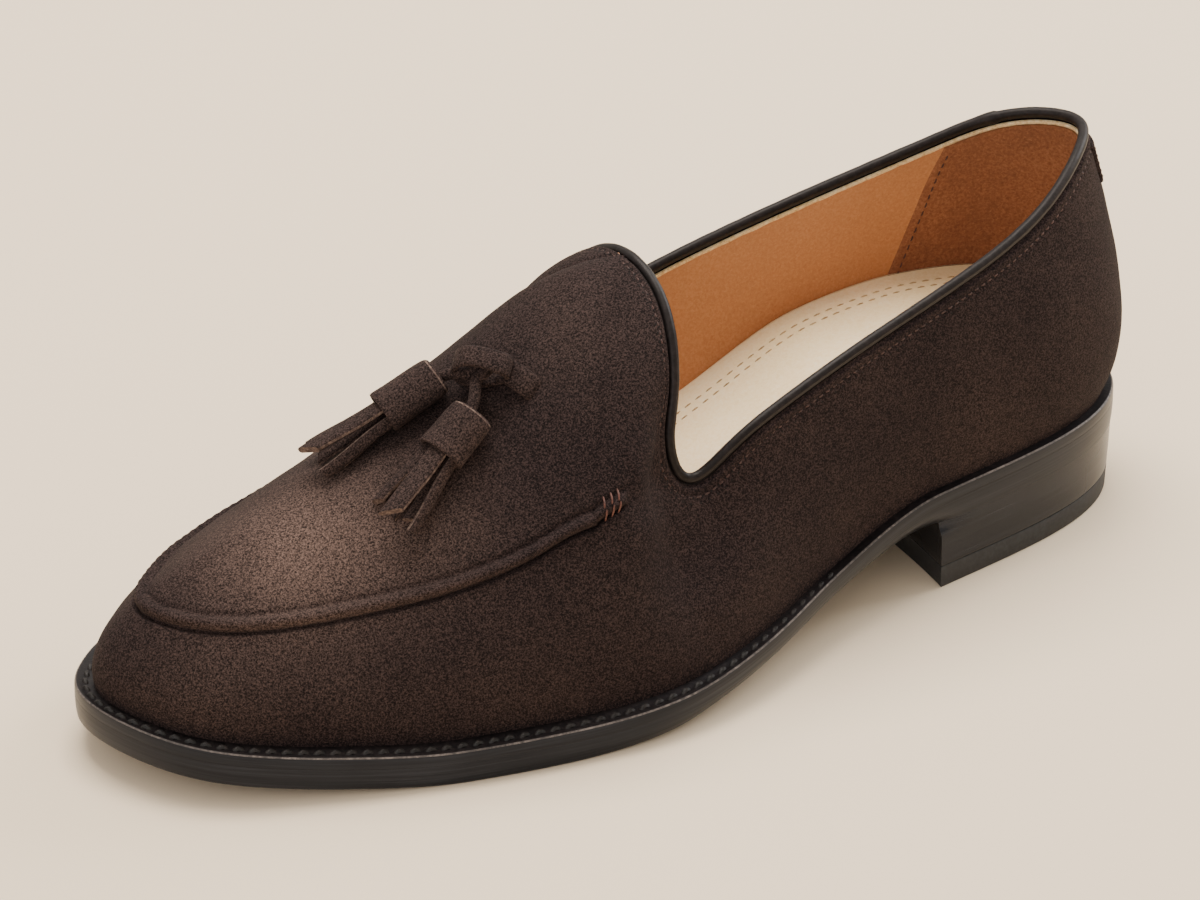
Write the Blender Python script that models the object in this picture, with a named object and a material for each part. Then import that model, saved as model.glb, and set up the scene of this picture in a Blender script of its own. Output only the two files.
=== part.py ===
"""Tassel loafer, left shoe, built in metres with +X towards the toe, +Y to the outer side and +Z up.

The heel's rest face is centred on the origin.  Every piece is worked out from the sizes and short
tables below: one feather line, one collar line, one ridge line and one underside profile give the
outsole, welt, heel, insole, upper, piping, heel tab and the places of the knot and the tassels.
"""
import math

import bmesh
import bpy
import numpy as np

# Sizes of the last and the sole
LAST_LENGTH = 0.290
BALL_WIDTH = 0.100
BACK_HEIGHT = 0.1005
HEEL_HEIGHT = 0.0196
TOE_SPRING = 0.0086
OUTSOLE_THICK = 0.0062
WELT_THICK = 0.0030
INSOLE_RISE = 0.0026
FOOTBED_RISE = 0.0195
FOOTBED_GAP = 0.0012
WALL = 0.0022
FIT_GAP = 0.0003
SOLE_BEVEL = 0.0062

# Sizes of the heel
HEEL_LENGTH = 0.0700
HEEL_HOLLOW = 0.0025
HEEL_TAPER = 0.0012
TOP_PIECE_THICK = 0.0060
LIFT_COUNT = 3

# Sizes of the trim
PIPING_ROUND = 0.0031
BEAD_HEIGHT = 0.0011
BEAD_WIDTH = 0.0034
GROOVE_DEPTH = 0.0005
TAB_HALF_ROWS = 0.50
TAB_START = 0.80
TAB_STOP = 0.975
TAB_THICK = 0.0011

# Sizes of the knot and the tassels
THONG_THICK = 0.0017
RING_RADIUS = 0.0047
RING_WIDTH = 0.0056
CORD_RADIUS = 0.0012
CORD_SPACING = 0.0015
CAP_HALF_WIDTH = 0.0061
CAP_HALF_DEPTH = 0.0047
CAP_SETBACK = 0.0012
STRIP_WIDTH = 0.0060
STRIP_ROOT = 0.0040

# One row for each section from the heel back round to the toe tip.  Lengths are shares of
# LAST_LENGTH, BALL_WIDTH and BACK_HEIGHT; edge is the welt's width over BALL_WIDTH; stop is the row of
# the collar table where the section ends; lean, roll, face and skew are degrees; lift, lift_in and
# reach are handle lengths as shares of the section's chord; bead is the apron seam's place on it.
LAST_COLUMNS = ("along", "lateral", "medial", "edge", "stop", "lean", "lean_in", "lift", "lift_in",
                "roll", "face", "skew", "reach", "bead")
LAST_ROWS = (
    (0.000,  0.000,  0.000,  0.030,  0.00, 30, 30, 0.31, 0.31, 14, -90,   0, 0.34, 0.40),
    (0.024,  0.168,  0.175,  0.027,  1.00, 28, 28, 0.32, 0.32, 13, -48,  -4, 0.34, 0.40),
    (0.097,  0.276,  0.282,  0.026,  2.00, 20, 20, 0.34, 0.34, 14, -16, -14, 0.34, 0.40),
    (0.214,  0.329,  0.318,  0.026,  3.00, 12, 15, 0.36, 0.36, 12,  -4, -14, 0.34, 0.40),
    (0.338,  0.380,  0.288,  0.030,  4.00,  8, 22, 0.36, 0.36, 10,   0, -14, 0.34, 0.40),
    (0.438,  0.475,  0.268,  0.037,  5.45,  2, 26, 0.36, 0.34, 16,   0, -20, 0.34, 0.40),
    (0.517,  0.535,  0.300,  0.046,  6.90,  0, 19, 0.34, 0.31, 28,  -2,  12, 0.25, 0.40),
    (0.579,  0.548,  0.352,  0.053,  9.40,  2, 10, 0.32, 0.28, 26,  -8,  50, 0.25, 0.40),
    (0.641,  0.523,  0.408,  0.057, 12.00,  5,  5, 0.31, 0.26, 90,   0,  40, 0.28, 0.40),
    (0.724,  0.470,  0.448,  0.060, 12.00,  8,  6, 0.30, 0.26, 90,   0,  45, 0.31, 0.415),
    (0.814,  0.388,  0.438,  0.061, 12.00, 10,  9, 0.30, 0.27, 90,   0,  50, 0.31, 0.45),
    (0.903,  0.280,  0.375,  0.060, 12.00, 12, 12, 0.31, 0.29, 90,   0,  43, 0.31, 0.49),
    (0.969,  0.140,  0.245,  0.056, 12.00, 14, 14, 0.33, 0.32, 90,   0,  24, 0.31, 0.53),
    (1.000, -0.090, -0.090,  0.046, 12.00, 15, 15, 0.35, 0.35, 90,   0,   0, 0.30, 0.55),
)
OPENING_COLUMNS = ("along", "lateral", "medial", "up")
OPENING_ROWS = (
    (0.0141,  0.000, 0.000, 1.004),
    (0.0455,  0.129, 0.143, 0.990),
    (0.1117,  0.229, 0.253, 0.919),
    (0.2092,  0.292, 0.313, 0.844),
    (0.3320,  0.334, 0.358, 0.763),
    (0.4210,  0.358, 0.380, 0.688),
    (0.4740,  0.357, 0.370, 0.610),
    (0.5050,  0.342, 0.350, 0.570),
    (0.5115,  0.326, 0.334, 0.620),
    (0.5035,  0.294, 0.305, 0.732),
    (0.4885,  0.225, 0.245, 0.870),
    (0.4790,  0.115, 0.150, 0.962),
    (0.4770, -0.020, 0.020, 0.998),
)
RIDGE_COLUMNS = ("along", "across", "up")
RIDGE_ROWS = (
    (0.477, -0.020, 0.998),
    (0.530, -0.024, 0.982),
    (0.595, -0.030, 0.893),
    (0.680, -0.040, 0.752),
    (0.760, -0.050, 0.645),
    (0.830, -0.055, 0.570),
    (0.890, -0.060, 0.515),
)
BOTTOM_ROWS = (
    # along, heel share, spring share
    (-0.03, 1.000, 0.0), (0.11, 0.980, 0.0), (0.245, 0.945, 0.0), (0.36, 0.560, 0.0), (0.47, 0.250, 0.0),
    (0.57, 0.065, 0.0), (0.665, 0.0, 0.0), (0.765, 0.0, 0.0), (0.865, 0.0, 0.270), (0.95, 0.0, 0.640), (1.03, 0.0, 1.06),
)

# Footbed: how far its face stands over the insole's toe height, as a share of FOOTBED_RISE
FOOTBED_COLUMNS = ("along", "rise")
FOOTBED_ROWS = ((-0.03, 0.86), (0.03, 0.90), (0.10, 0.97), (0.15, 1.00), (0.21, 0.95), (0.29, 0.80), (0.36, 0.68),
                (0.44, 0.50), (0.53, 0.28), (0.62, 0.10), (0.70, 0.0), (1.03, 0.0))

# Share of the ridge reached by each section from the tongue apex to the toe tip
RIDGE_SHARE = (0.0, 0.255, 0.545, 0.80, 0.945, 1.0)

# Columns of faces between one section row and the next, heel back to toe tip
COLUMN_COUNTS = (3, 3, 3, 3, 4, 4, 7, 4, 3, 3, 4, 4, 4)

# Places on the vamp: section row, share of the section, height above the leather as a share of RING_RADIUS
PLACE_COLUMNS = ("row", "share", "height")
RING_PLACE = (9.25, 0.888, 1.277)
SLOT_PLACES = ((9.03, 0.835, 0.277), (9.35, 0.975, 0.277))
TASSEL_PLACES = (
    ("tassel_left", (9.61, 0.987, 1.191), (15.92, 0.985, 1.149), (15.42, 0.921, 0.809), 1.0),
    ("tassel_right", (9.30, 0.793, 1.234), (9.63, 0.750, 1.149), (10.01, 0.654, 0.809), -1.0),
)
# Strips of a tassel: across and up from its axis (shares of the cap's halves), length share, tilt degrees
STRIP_COLUMNS = ("across", "up", "length", "tilt")
STRIP_ROWS = (
    (-0.08, 0.46, 1.00, 4),
    (0.66, 0.06, 0.96, 52),
    (-0.74, 0.14, 0.90, -38),
    (0.30, -0.42, 0.93, -14),
    (-0.40, -0.40, 0.97, 12),
)

# Share of the sole's bevel at shares of the length
WAIST_COLUMNS = ("along", "bevel")
WAIST_ROWS = ((0.0, 0.06), (0.20, 0.06), (0.27, 0.50), (0.40, 1.0), (0.50, 0.75), (0.58, 0.30), (0.68, 0.09), (1.1, 0.09))

APEX_ROW = 8
TIP_ROW = 13
ROWS = 2 * TIP_ROW

# Finishes: red, green, blue, roughness
FINISHES = {
    "brown_suede": (0.052, 0.033, 0.026, 0.95),
    "piping_leather": (0.018, 0.012, 0.010, 0.45),
    "black_edge": (0.012, 0.011, 0.011, 0.38),
    "heel_leather": (0.016, 0.015, 0.015, 0.30),
    "heel_rubber": (0.020, 0.019, 0.019, 0.85),
    "insole_leather": (0.62, 0.48, 0.30, 0.60),
}


def column(rows, names, name):
    """One named column of a table."""
    return np.array([row[names.index(name)] for row in rows], float)


def closed_spline(values, at):
    """Closed cubic spline through rows, read at the row numbers `at`."""
    points = np.asarray(values, float)
    count = len(points)
    system = np.zeros((count, count))
    for row in range(count):
        system[row, (row - 1) % count] += 1.0
        system[row, row] += 4.0
        system[row, (row + 1) % count] += 1.0
    slopes = np.linalg.solve(system, 3.0 * (np.roll(points, -1, 0) - np.roll(points, 1, 0)))
    return hermite(points, slopes, at, count)


def hermite(points, slopes, at, count):
    """Closed cubic through points with given slopes, read at the row numbers `at`."""
    at = np.mod(np.asarray(at, float), count)
    low = np.floor(at).astype(int) % count
    high = (low + 1) % count
    t = at - np.floor(at)
    shape = (-1,) + (1,) * (points.ndim - 1)
    t = t.reshape(shape)
    return ((2 * t**3 - 3 * t**2 + 1) * points[low] + (t**3 - 2 * t**2 + t) * slopes[low]
            + (3 * t**2 - 2 * t**3) * points[high] + (t**3 - t**2) * slopes[high])


def smooth_table(xs, ys, at):
    """Cubic through a short table that never overshoots its rows."""
    xs = np.asarray(xs, float)
    ys = np.asarray(ys, float)
    step = np.diff(xs)
    rate = np.diff(ys) / step
    slope = np.zeros(len(xs))
    for i in range(1, len(xs) - 1):
        if rate[i - 1] * rate[i] > 0.0:
            a = 2 * step[i] + step[i - 1]
            b = step[i] + 2 * step[i - 1]
            slope[i] = (a + b) / (a / rate[i - 1] + b / rate[i])
    slope[0] = rate[0]
    slope[-1] = rate[-1]
    at = np.asarray(at, float)
    i = np.clip(np.searchsorted(xs, at, side="right") - 1, 0, len(xs) - 2)
    t = (at - xs[i]) / step[i]
    t = np.clip(t, 0.0, 1.0)
    return ((2 * t**3 - 3 * t**2 + 1) * ys[i] + (t**3 - 2 * t**2 + t) * step[i] * slope[i]
            + (3 * t**2 - 2 * t**3) * ys[i + 1] + (t**3 - t**2) * step[i] * slope[i + 1])


def natural_spline(xs, ys, at):
    """Natural cubic spline through a short table of points."""
    xs = np.asarray(xs, float)
    ys = np.asarray(ys, float)
    n = len(xs)
    step = np.diff(xs)
    system = np.zeros((n, n))
    right = np.zeros((n,) + ys.shape[1:])
    system[0, 0] = 2.0
    system[0, 1] = 1.0
    right[0] = 3 * (ys[1] - ys[0]) / step[0]
    for i in range(1, n - 1):
        system[i, i - 1] = 1 / step[i - 1]
        system[i, i] = 2 / step[i - 1] + 2 / step[i]
        system[i, i + 1] = 1 / step[i]
        right[i] = 3 * ((ys[i] - ys[i - 1]) / step[i - 1]**2 + (ys[i + 1] - ys[i]) / step[i]**2)
    system[-1, -2] = 1.0
    system[-1, -1] = 2.0
    right[-1] = 3 * (ys[-1] - ys[-2]) / step[-1]
    slope = np.linalg.solve(system, right)
    at = np.asarray(at, float)
    i = np.clip(np.searchsorted(xs, at, side="right") - 1, 0, n - 2)
    h = step[i]
    t = (at - xs[i]) / h
    shape = t.shape + (1,) * (ys.ndim - 1)
    t = t.reshape(shape)
    h = h.reshape(shape)
    return ((2 * t**3 - 3 * t**2 + 1) * ys[i] + (t**3 - 2 * t**2 + t) * h * slope[i]
            + (3 * t**2 - 2 * t**3) * ys[i + 1] + (t**3 - t**2) * h * slope[i + 1])


def both_sides(lateral, medial=None):
    """Half table from heel back to toe tip, run on round the medial side."""
    lateral = np.asarray(lateral, float)
    medial = lateral if medial is None else np.asarray(medial, float)
    return np.concatenate([lateral, medial[-2:0:-1]])


def get(name):
    """One named column of the last's table."""
    return column(LAST_ROWS, LAST_COLUMNS, name)


def bottom_rise(x):
    """Height of the sole's underside above the floor at a distance from the heel's back."""
    rows = np.array(BOTTOM_ROWS)
    rise = HEEL_HEIGHT * rows[:, 1] + TOE_SPRING * rows[:, 2]
    return smooth_table(rows[:, 0] * LAST_LENGTH, rise, x)


def feather(u):
    """Plan of the line where the upper meets the welt."""
    rows = np.c_[both_sides(get("along")) * LAST_LENGTH,
                 both_sides(get("lateral"), -get("medial")) * BALL_WIDTH]
    rows[TIP_ROW, 1] = get("lateral")[-1] * BALL_WIDTH
    return closed_spline(rows, u)


def outward(u):
    """Unit plan normals of the feather line, away from the foot."""
    ahead = feather(np.asarray(u) + 0.02)
    back = feather(np.asarray(u) - 0.02)
    along = ahead - back
    along /= np.linalg.norm(along, axis=1)[:, None]
    return np.c_[-along[:, 1], along[:, 0]]


def outline(u, grow):
    """Feather line grown outward by a distance, in plan."""
    return feather(u) + outward(u) * np.reshape(grow, (-1, 1))


def edge_width(u):
    """Width of the welt outside the feather line."""
    return closed_spline(both_sides(get("edge")), u) * BALL_WIDTH


def fold(u):
    """Row number counted from the heel back on either side."""
    u = np.mod(np.asarray(u, float), ROWS)
    return np.where(u <= TIP_ROW, u, ROWS - u)


def sign(u):
    """1 on the lateral side and -1 on the medial side."""
    return np.where(np.mod(np.asarray(u, float), ROWS) <= TIP_ROW, 1.0, -1.0)


def loop_by_length(points, at):
    """Closed cubic spline with knots at chord lengths, read at distances `at` along it."""
    count = len(points)
    step = np.linalg.norm(np.roll(points, -1, 0) - points, axis=1)
    system = np.zeros((count, count))
    right = np.zeros_like(points)
    for i in range(count):
        h0 = step[i - 1]
        h1 = step[i]
        system[i, (i - 1) % count] += 1 / h0
        system[i, i] += 2 / h0 + 2 / h1
        system[i, (i + 1) % count] += 1 / h1
        right[i] = 3 * ((points[i] - points[i - 1]) / h0**2 + (points[(i + 1) % count] - points[i]) / h1**2)
    slope = np.linalg.solve(system, right)
    knots = np.concatenate([[0.0], np.cumsum(step)])
    at = np.mod(np.asarray(at, float), knots[-1])
    i = np.clip(np.searchsorted(knots, at, side="right") - 1, 0, count - 1)
    h = step[i][:, None]
    t = ((at - knots[i]) / step[i])[:, None]
    j = (i + 1) % count
    return ((2 * t**3 - 3 * t**2 + 1) * points[i] + (t**3 - 2 * t**2 + t) * h * slope[i]
            + (3 * t**2 - 2 * t**3) * points[j] + (t**3 - t**2) * h * slope[j])


def opening_points():
    """Corner points of the collar line, right round."""
    rows = np.array(OPENING_ROWS)
    lateral = rows[:, [0, 1, 3]] * [LAST_LENGTH, BALL_WIDTH, BACK_HEIGHT]
    medial = rows[:, [0, 2, 3]] * [LAST_LENGTH, -BALL_WIDTH, BACK_HEIGHT]
    return np.concatenate([lateral, medial[-2:0:-1]])


def opening_length(u):
    """Distance round the collar at which each section ends."""
    points = opening_points()
    knots = np.concatenate([[0.0], np.cumsum(np.linalg.norm(np.roll(points, -1, 0) - points, axis=1))])
    stops = get("stop")[:APEX_ROW + 1]
    last = len(OPENING_ROWS) - 1
    lateral = np.interp(stops, np.arange(last + 1), knots[:last + 1])
    medial = np.interp(2 * last - stops, np.arange(len(knots)), knots)
    rows = np.arange(APEX_ROW + 1)
    half = np.minimum(fold(u), APEX_ROW)
    near = smooth_table(rows, lateral, half)
    far = knots[-1] - smooth_table(rows, knots[-1] - medial, half)
    return np.where(sign(u) > 0, near, far)


def opening(u):
    """Top line of the collar from the heel back to the tongue apex on both sides."""
    return loop_by_length(opening_points(), opening_length(u))


def opening_tangent(u):
    """Unit direction of the collar line."""
    at = opening_length(u)
    points = opening_points()
    t = loop_by_length(points, at + 0.0004) - loop_by_length(points, at - 0.0004)
    return t / np.linalg.norm(t, axis=1)[:, None]


def ridge(w):
    """Centre line of the vamp, w from 0 at the tongue to 1 over the toe."""
    rows = np.array(RIDGE_ROWS) * np.array([LAST_LENGTH, BALL_WIDTH, BACK_HEIGHT])
    first = rows[1] - rows[0]
    rows[0] = rows[0] + first * (PIPING_ROUND / np.linalg.norm(first))
    run = rows[:, 0]
    span = (run - run[0]) / (run[-1] - run[0])
    return natural_spline(span, rows, np.asarray(w, float))


def ridge_share(u):
    """How far along the ridge a section ends: 0 up to the apex row, 1 at the toe row."""
    at = np.clip(fold(u), APEX_ROW, TIP_ROW)
    shares = np.array(RIDGE_SHARE)
    xs = np.arange(APEX_ROW, 2 * TIP_ROW - APEX_ROW + 1)
    ys = np.concatenate([shares, shares[-2::-1]])
    return np.clip(natural_spline(xs, ys, at), 0.0, 1.0)


def ridge_tangent(share):
    """Unit direction of the ridge towards the toe, seen from the side."""
    a = ridge(np.clip(share - 0.01, 0, 1))
    b = ridge(np.clip(share + 0.01, 0, 1))
    t = b - a
    t[:, 1] = 0.0
    return t / np.linalg.norm(t, axis=1)[:, None]


def leather_face(u):
    """Unit normal of the leather at the collar, and of the vamp's crest from the apex row on."""
    roll = np.radians(get("roll"))
    face = np.radians(get("face"))
    crest = crest_normal(ridge_share(np.arange(TIP_ROW + 1)))
    sides = []
    for side in (1.0, -1.0):
        rows = np.c_[np.cos(roll) * np.sin(face), side * np.cos(roll) * np.cos(face), np.sin(roll)]
        rows[APEX_ROW:] = crest[APEX_ROW:]
        sides.append(rows)
    rows = both_sides(sides[0], sides[1])
    rows[0, 1] = 0.0
    normal = closed_spline(rows, u)
    return normal / np.linalg.norm(normal, axis=1)[:, None]


def crest_normal(share):
    """Upward normal of the ridge, square to it and level across."""
    normal = np.cross(ridge_tangent(share), np.array([0.0, 1.0, 0.0]))
    normal *= np.sign(normal[:, 2:3])
    return normal / np.linalg.norm(normal, axis=1)[:, None]


def collar_frame(u):
    """Tangent of the collar line, the way square to it out of the leather, and the leather's normal."""
    t = opening_tangent(u)
    normal = leather_face(u)
    normal = normal - t * (normal * t).sum(1)[:, None]
    normal /= np.linalg.norm(normal, axis=1)[:, None]
    return t, np.cross(t, normal), normal


def end_way(u):
    """Unit direction in which each section arrives at its end."""
    skew = np.radians(closed_spline(both_sides(get("skew"), -get("skew")), u))[:, None]
    t, square, _ = collar_frame(u)
    at_collar = np.cos(skew) * square + np.sin(skew) * t
    at_ridge = -np.cos(skew) * ridge_tangent(ridge_share(u)) - np.sin(skew) * np.array([0.0, 1.0, 0.0])
    return np.where((fold(u) >= APEX_ROW)[:, None], at_ridge, at_collar)


def end_point(u):
    """Where each section ends: under the piping, or on the ridge of the vamp."""
    _, square, _ = collar_frame(u)
    on_collar = opening(u) - square * PIPING_ROUND
    return np.where((fold(u) >= APEX_ROW)[:, None], ridge(ridge_share(u)), on_collar)


def handles(u):
    """The four control points of each section."""
    u = np.asarray(u, float)
    plan = feather(u)
    out = outward(u)
    seat = bottom_rise(plan[:, 0]) + OUTSOLE_THICK + WELT_THICK + 2 * FIT_GAP
    start = np.c_[plan, seat]
    end = end_point(u)
    way = end_way(u)
    lean = np.radians(closed_spline(both_sides(get("lean"), get("lean_in")), u))
    leave = np.c_[out * np.sin(lean)[:, None], np.cos(lean)]
    chord = np.linalg.norm(end - start, axis=1)
    lift = closed_spline(both_sides(get("lift"), get("lift_in")), u) * chord
    reach = closed_spline(both_sides(get("reach")), u) * chord
    return start, start + leave * lift[:, None], end - way * reach[:, None], end


def bead_share(u):
    """Share of each section at which the apron seam stands."""
    return closed_spline(both_sides(get("bead")), u)


def upper_point(u, v):
    """Outer face of the upper at row numbers u and section shares v."""
    a, b, c, d = handles(u)
    v = np.reshape(v, (-1, 1))
    return (1 - v)**3 * a + 3 * v * (1 - v)**2 * b + 3 * v**2 * (1 - v) * c + v**3 * d


def upper_side(u, v, away):
    """Point at a distance from the upper's plain outer face, away from the foot when positive."""
    base = upper_point(u, v)
    return base + surface_normal(u, v) * np.reshape(away, (-1, 1))


def surface_normal(u, v):
    """Unit normal of the plain outer face; level with the ridge where both sides meet."""
    u = np.asarray(u, float)
    v = np.asarray(v, float) + 0.0 * u
    small = 0.002
    ahead = upper_point(u + small, v) - upper_point(u - small, v)
    up = upper_point(u, np.minimum(v + small, 1.0)) - upper_point(u, np.maximum(v - small, 0.0))
    normal = np.cross(up, ahead)
    normal /= np.maximum(np.linalg.norm(normal, axis=1), 1e-12)[:, None]
    plan = feather(u)
    inside = np.c_[plan[:, 0] * 0.0 + 0.5 * LAST_LENGTH, plan[:, 1] * 0.0, plan[:, 0] * 0.0 + 0.3 * BACK_HEIGHT]
    flip = np.sign(((upper_point(u, v) - inside) * normal).sum(1))
    normal = normal * np.where(flip == 0.0, 1.0, flip)[:, None]
    at_end = np.where((fold(u) >= APEX_ROW)[:, None], crest_normal(ridge_share(u)), collar_frame(u)[2])
    return np.where((v > 0.999)[:, None], at_end, normal)


def row_places(counts):
    """Section rows of the columns of faces right round the shoe."""
    half = []
    for row, count in enumerate(counts):
        half.extend(row + np.arange(count) / count)
    half = np.array(half)
    back = ROWS - half[1:][::-1]
    return np.concatenate([half, [TIP_ROW], back])


def centred(points):
    """Shoe coordinates moved so that the heel's rest face is centred on the origin."""
    points = np.array(points, float)
    points[:, 0] -= heel_centre()
    return points


def heel_centre():
    """Distance from the last's back to the middle of the heel's rest face."""
    back = outline(np.array([0.0]), edge_width(np.array([0.0])))[0, 0]
    return 0.5 * (back + HEEL_TAPER + HEEL_LENGTH)


def finish_slot(name):
    """Material of one finish, made once."""
    slot = bpy.data.materials.get(name)
    if slot is None:
        red, green, blue, rough = FINISHES[name]
        slot = bpy.data.materials.new(name)
        slot.use_nodes = True
        shader = slot.node_tree.nodes["Principled BSDF"]
        shader.inputs["Base Color"].default_value = (red, green, blue, 1.0)
        shader.inputs["Roughness"].default_value = rough
        slot.diffuse_color = (red, green, blue, 1.0)
    return slot


def add_piece(name, points, faces, finish):
    """One closed body facing out, with its material, in shoe coordinates moved to the origin."""
    mesh = bpy.data.meshes.new(name)
    mesh.from_pydata([tuple(p) for p in centred(points)], [], faces)
    work = bmesh.new()
    work.from_mesh(mesh)
    bmesh.ops.remove_doubles(work, verts=work.verts, dist=0.00002)
    bmesh.ops.triangulate(work, faces=work.faces, quad_method="SHORT_EDGE", ngon_method="BEAUTY")
    bmesh.ops.recalc_face_normals(work, faces=work.faces)
    if work.calc_volume(signed=True) < 0.0:
        bmesh.ops.reverse_faces(work, faces=work.faces)
    work.to_mesh(mesh)
    work.free()
    mesh.materials.append(finish_slot(finish))
    item = bpy.data.objects.new(name, mesh)
    bpy.context.collection.objects.link(item)
    return item


def loop_bands(levels, count, first=0):
    """Quads between closed loops of `count` points stacked one after another."""
    faces = []
    for level in range(levels - 1):
        low = first + level * count
        high = low + count
        for i in range(count):
            j = (i + 1) % count
            faces.append((low + i, low + j, high + j, high + i))
    return faces


def rung_cap(start, count):
    """Cap of a closed loop with quads from the outer side straight across to the inner side."""
    faces = []
    for i in range(count // 2):
        faces.append((start + i, start + i + 1, start + (count - i - 1) % count, start + (count - i) % count))
    return [tuple(dict.fromkeys(face)) for face in faces if len(set(face)) > 2]


def stacked_plate(name, u, levels, finish):
    """Plate from loops (grow, height above the underside) from the bottom up, capped both ends."""
    points = []
    for grow, height in levels:
        plan = outline(u, grow)
        points.append(np.c_[plan, bottom_rise(plan[:, 0]) + height])
    count = len(u)
    faces = loop_bands(len(levels), count) + rung_cap(0, count) + rung_cap((len(levels) - 1) * count, count)
    return add_piece(name, np.concatenate(points), faces, finish)


def waist(u):
    """Share of the sole's bevel: none under the heel and the forepart, full in the waist."""
    along = feather(u)[:, 0] / LAST_LENGTH
    rows = np.array(WAIST_ROWS)
    return smooth_table(rows[:, 0], rows[:, 1], along)


def build_outsole(u):
    """Outsole with its edge square at heel and forepart and bevelled in the waist."""
    edge = edge_width(u)
    bevel = SOLE_BEVEL * waist(u)
    levels = (
        (edge - bevel, 0.0),
        (edge - 0.28 * bevel, 0.42 * OUTSOLE_THICK),
        (edge - 0.04 * bevel, 0.80 * OUTSOLE_THICK),
        (edge - 0.02 * bevel, OUTSOLE_THICK),
    )
    return stacked_plate("outsole", u, levels, "black_edge")


def footbed_top(x):
    """Height of the footbed's face over the feather line at a distance from the last's back."""
    rows = np.array(FOOTBED_ROWS)
    return INSOLE_RISE + FOOTBED_RISE * smooth_table(rows[:, 0] * LAST_LENGTH, rows[:, 1], x)


def wall_loop(u, share, gap):
    """Loop close inside the upper's wall, at a share of the footbed's height over the feather line."""
    feather_height = OUTSOLE_THICK + WELT_THICK + 2 * FIT_GAP
    low = np.zeros(len(u))
    high = np.full(len(u), 0.7)
    for _ in range(24):
        mid = 0.5 * (low + high)
        place = upper_side(u, mid, -(WALL + gap))
        goal = bottom_rise(place[:, 0]) + feather_height + share * footbed_top(place[:, 0])
        short = place[:, 2] < goal
        low = np.where(short, mid, low)
        high = np.where(short, high, mid)
    place[:, 2] = goal
    return place


def build_insole(u):
    """Insole, cork filler and sock as one footbed that fills the shoe from wall to wall."""
    inset = -(WALL + FIT_GAP)
    plan = outline(u, inset)
    loops = []
    for height in (OUTSOLE_THICK + FIT_GAP, OUTSOLE_THICK + WELT_THICK + 2 * FIT_GAP):
        loops.append(np.c_[plan, bottom_rise(plan[:, 0]) + height])
    for share, gap in ((0.30, FOOTBED_GAP), (0.62, FOOTBED_GAP), (0.94, FOOTBED_GAP), (1.0, 1.5 * FOOTBED_GAP)):
        loops.append(wall_loop(u, share, gap))
    count = len(u)
    faces = loop_bands(len(loops), count) + rung_cap(0, count) + rung_cap((len(loops) - 1) * count, count)
    return add_piece("insole", np.concatenate(loops), faces, "insole_leather")


def build_welt(u):
    """Closed ring between the outsole and the upper, its inner edge under the upper's inner face."""
    edge = edge_width(u)
    inner = np.full(len(u), -WALL)
    low = OUTSOLE_THICK + FIT_GAP
    high = low + WELT_THICK
    loops = ((inner, low), (edge, low), (edge, high - 0.0007), (edge - 0.0006, high), (inner, high), (inner, low))
    points = []
    for grow, height in loops[:-1]:
        plan = outline(u, grow)
        points.append(np.c_[plan, bottom_rise(plan[:, 0]) + height])
    count = len(u)
    faces = loop_bands(len(loops) - 1, count)
    last = (len(loops) - 2) * count
    faces += [(last + i, last + (i + 1) % count, (i + 1) % count, i) for i in range(count)]
    return add_piece("welt", np.concatenate(points), faces, "black_edge")


def heel_row(side):
    """Section row where the heel's breast meets the sole's edge on one side."""
    low = 2.0
    high = 5.0
    for _ in range(40):
        mid = 0.5 * (low + high)
        u = np.array([mid if side > 0 else ROWS - mid])
        if outline(u, edge_width(u))[0, 0] < HEEL_LENGTH:
            low = mid
        else:
            high = mid
    return low


def build_heel():
    """Leather lifts and a rubber top piece, each from its own height range."""
    outer = heel_row(1.0)
    inner = heel_row(-1.0)
    u = np.concatenate([np.linspace(outer, 0.0, 14), ROWS - np.linspace(0.0, inner, 14)[1:]])
    half = (len(u) - 1) // 2
    stack = HEEL_HEIGHT * 0.93 - TOP_PIECE_THICK
    each = stack / LIFT_COUNT
    layers = [("heel_top_piece", 0.0, TOP_PIECE_THICK, "heel_rubber")]
    for i in range(LIFT_COUNT):
        low = TOP_PIECE_THICK + i * each + FIT_GAP
        high = TOP_PIECE_THICK + (i + 1) * each
        layers.append(("heel_lift_" + str(i + 1), low, high, "heel_leather"))
    for number, (name, low, high, finish) in enumerate(layers):
        points = []
        for height in (low, high):
            drop = 1.0 - height / HEEL_HEIGHT
            grow = edge_width(u) - 0.06 * SOLE_BEVEL - HEEL_TAPER * drop * np.sin(
                np.linspace(0.0, math.pi, len(u)))
            plan = outline(u, grow)
            across = np.linspace(plan[-1, 1], plan[0, 1], 9)[1:-1]
            middle = 0.5 * (plan[-1, 1] + plan[0, 1])
            reach = 0.5 * abs(plan[0, 1] - plan[-1, 1])
            front = HEEL_LENGTH - HEEL_HOLLOW * (1.0 - ((across - middle) / reach)**2)
            plan = np.concatenate([plan, np.c_[front, across]])
            level = np.full(len(plan), height)
            if number == len(layers) - 1 and height == high:
                level = bottom_rise(plan[:, 0]) - FIT_GAP
            points.append(np.c_[plan, level])
        count = len(points[0])
        faces = loop_bands(2, count)
        for start in (0, count):
            for i in range(half):
                faces.append(tuple(dict.fromkeys((start + i, start + i + 1, start + 2 * half - i - 1,
                                                  start + 2 * half - i))))
            faces.append(tuple([start, start + 2 * half] + [start + k for k in range(2 * half + 1, count)]))
        faces = [face for face in faces if len(face) > 2]
        add_piece(name, np.concatenate(points), faces, finish)


def bead_fade(u):
    """1 along the apron seam, running out to 0 behind its ends."""
    return np.clip((fold(u) - 7.35) / 0.65, 0.0, 1.0)


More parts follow.
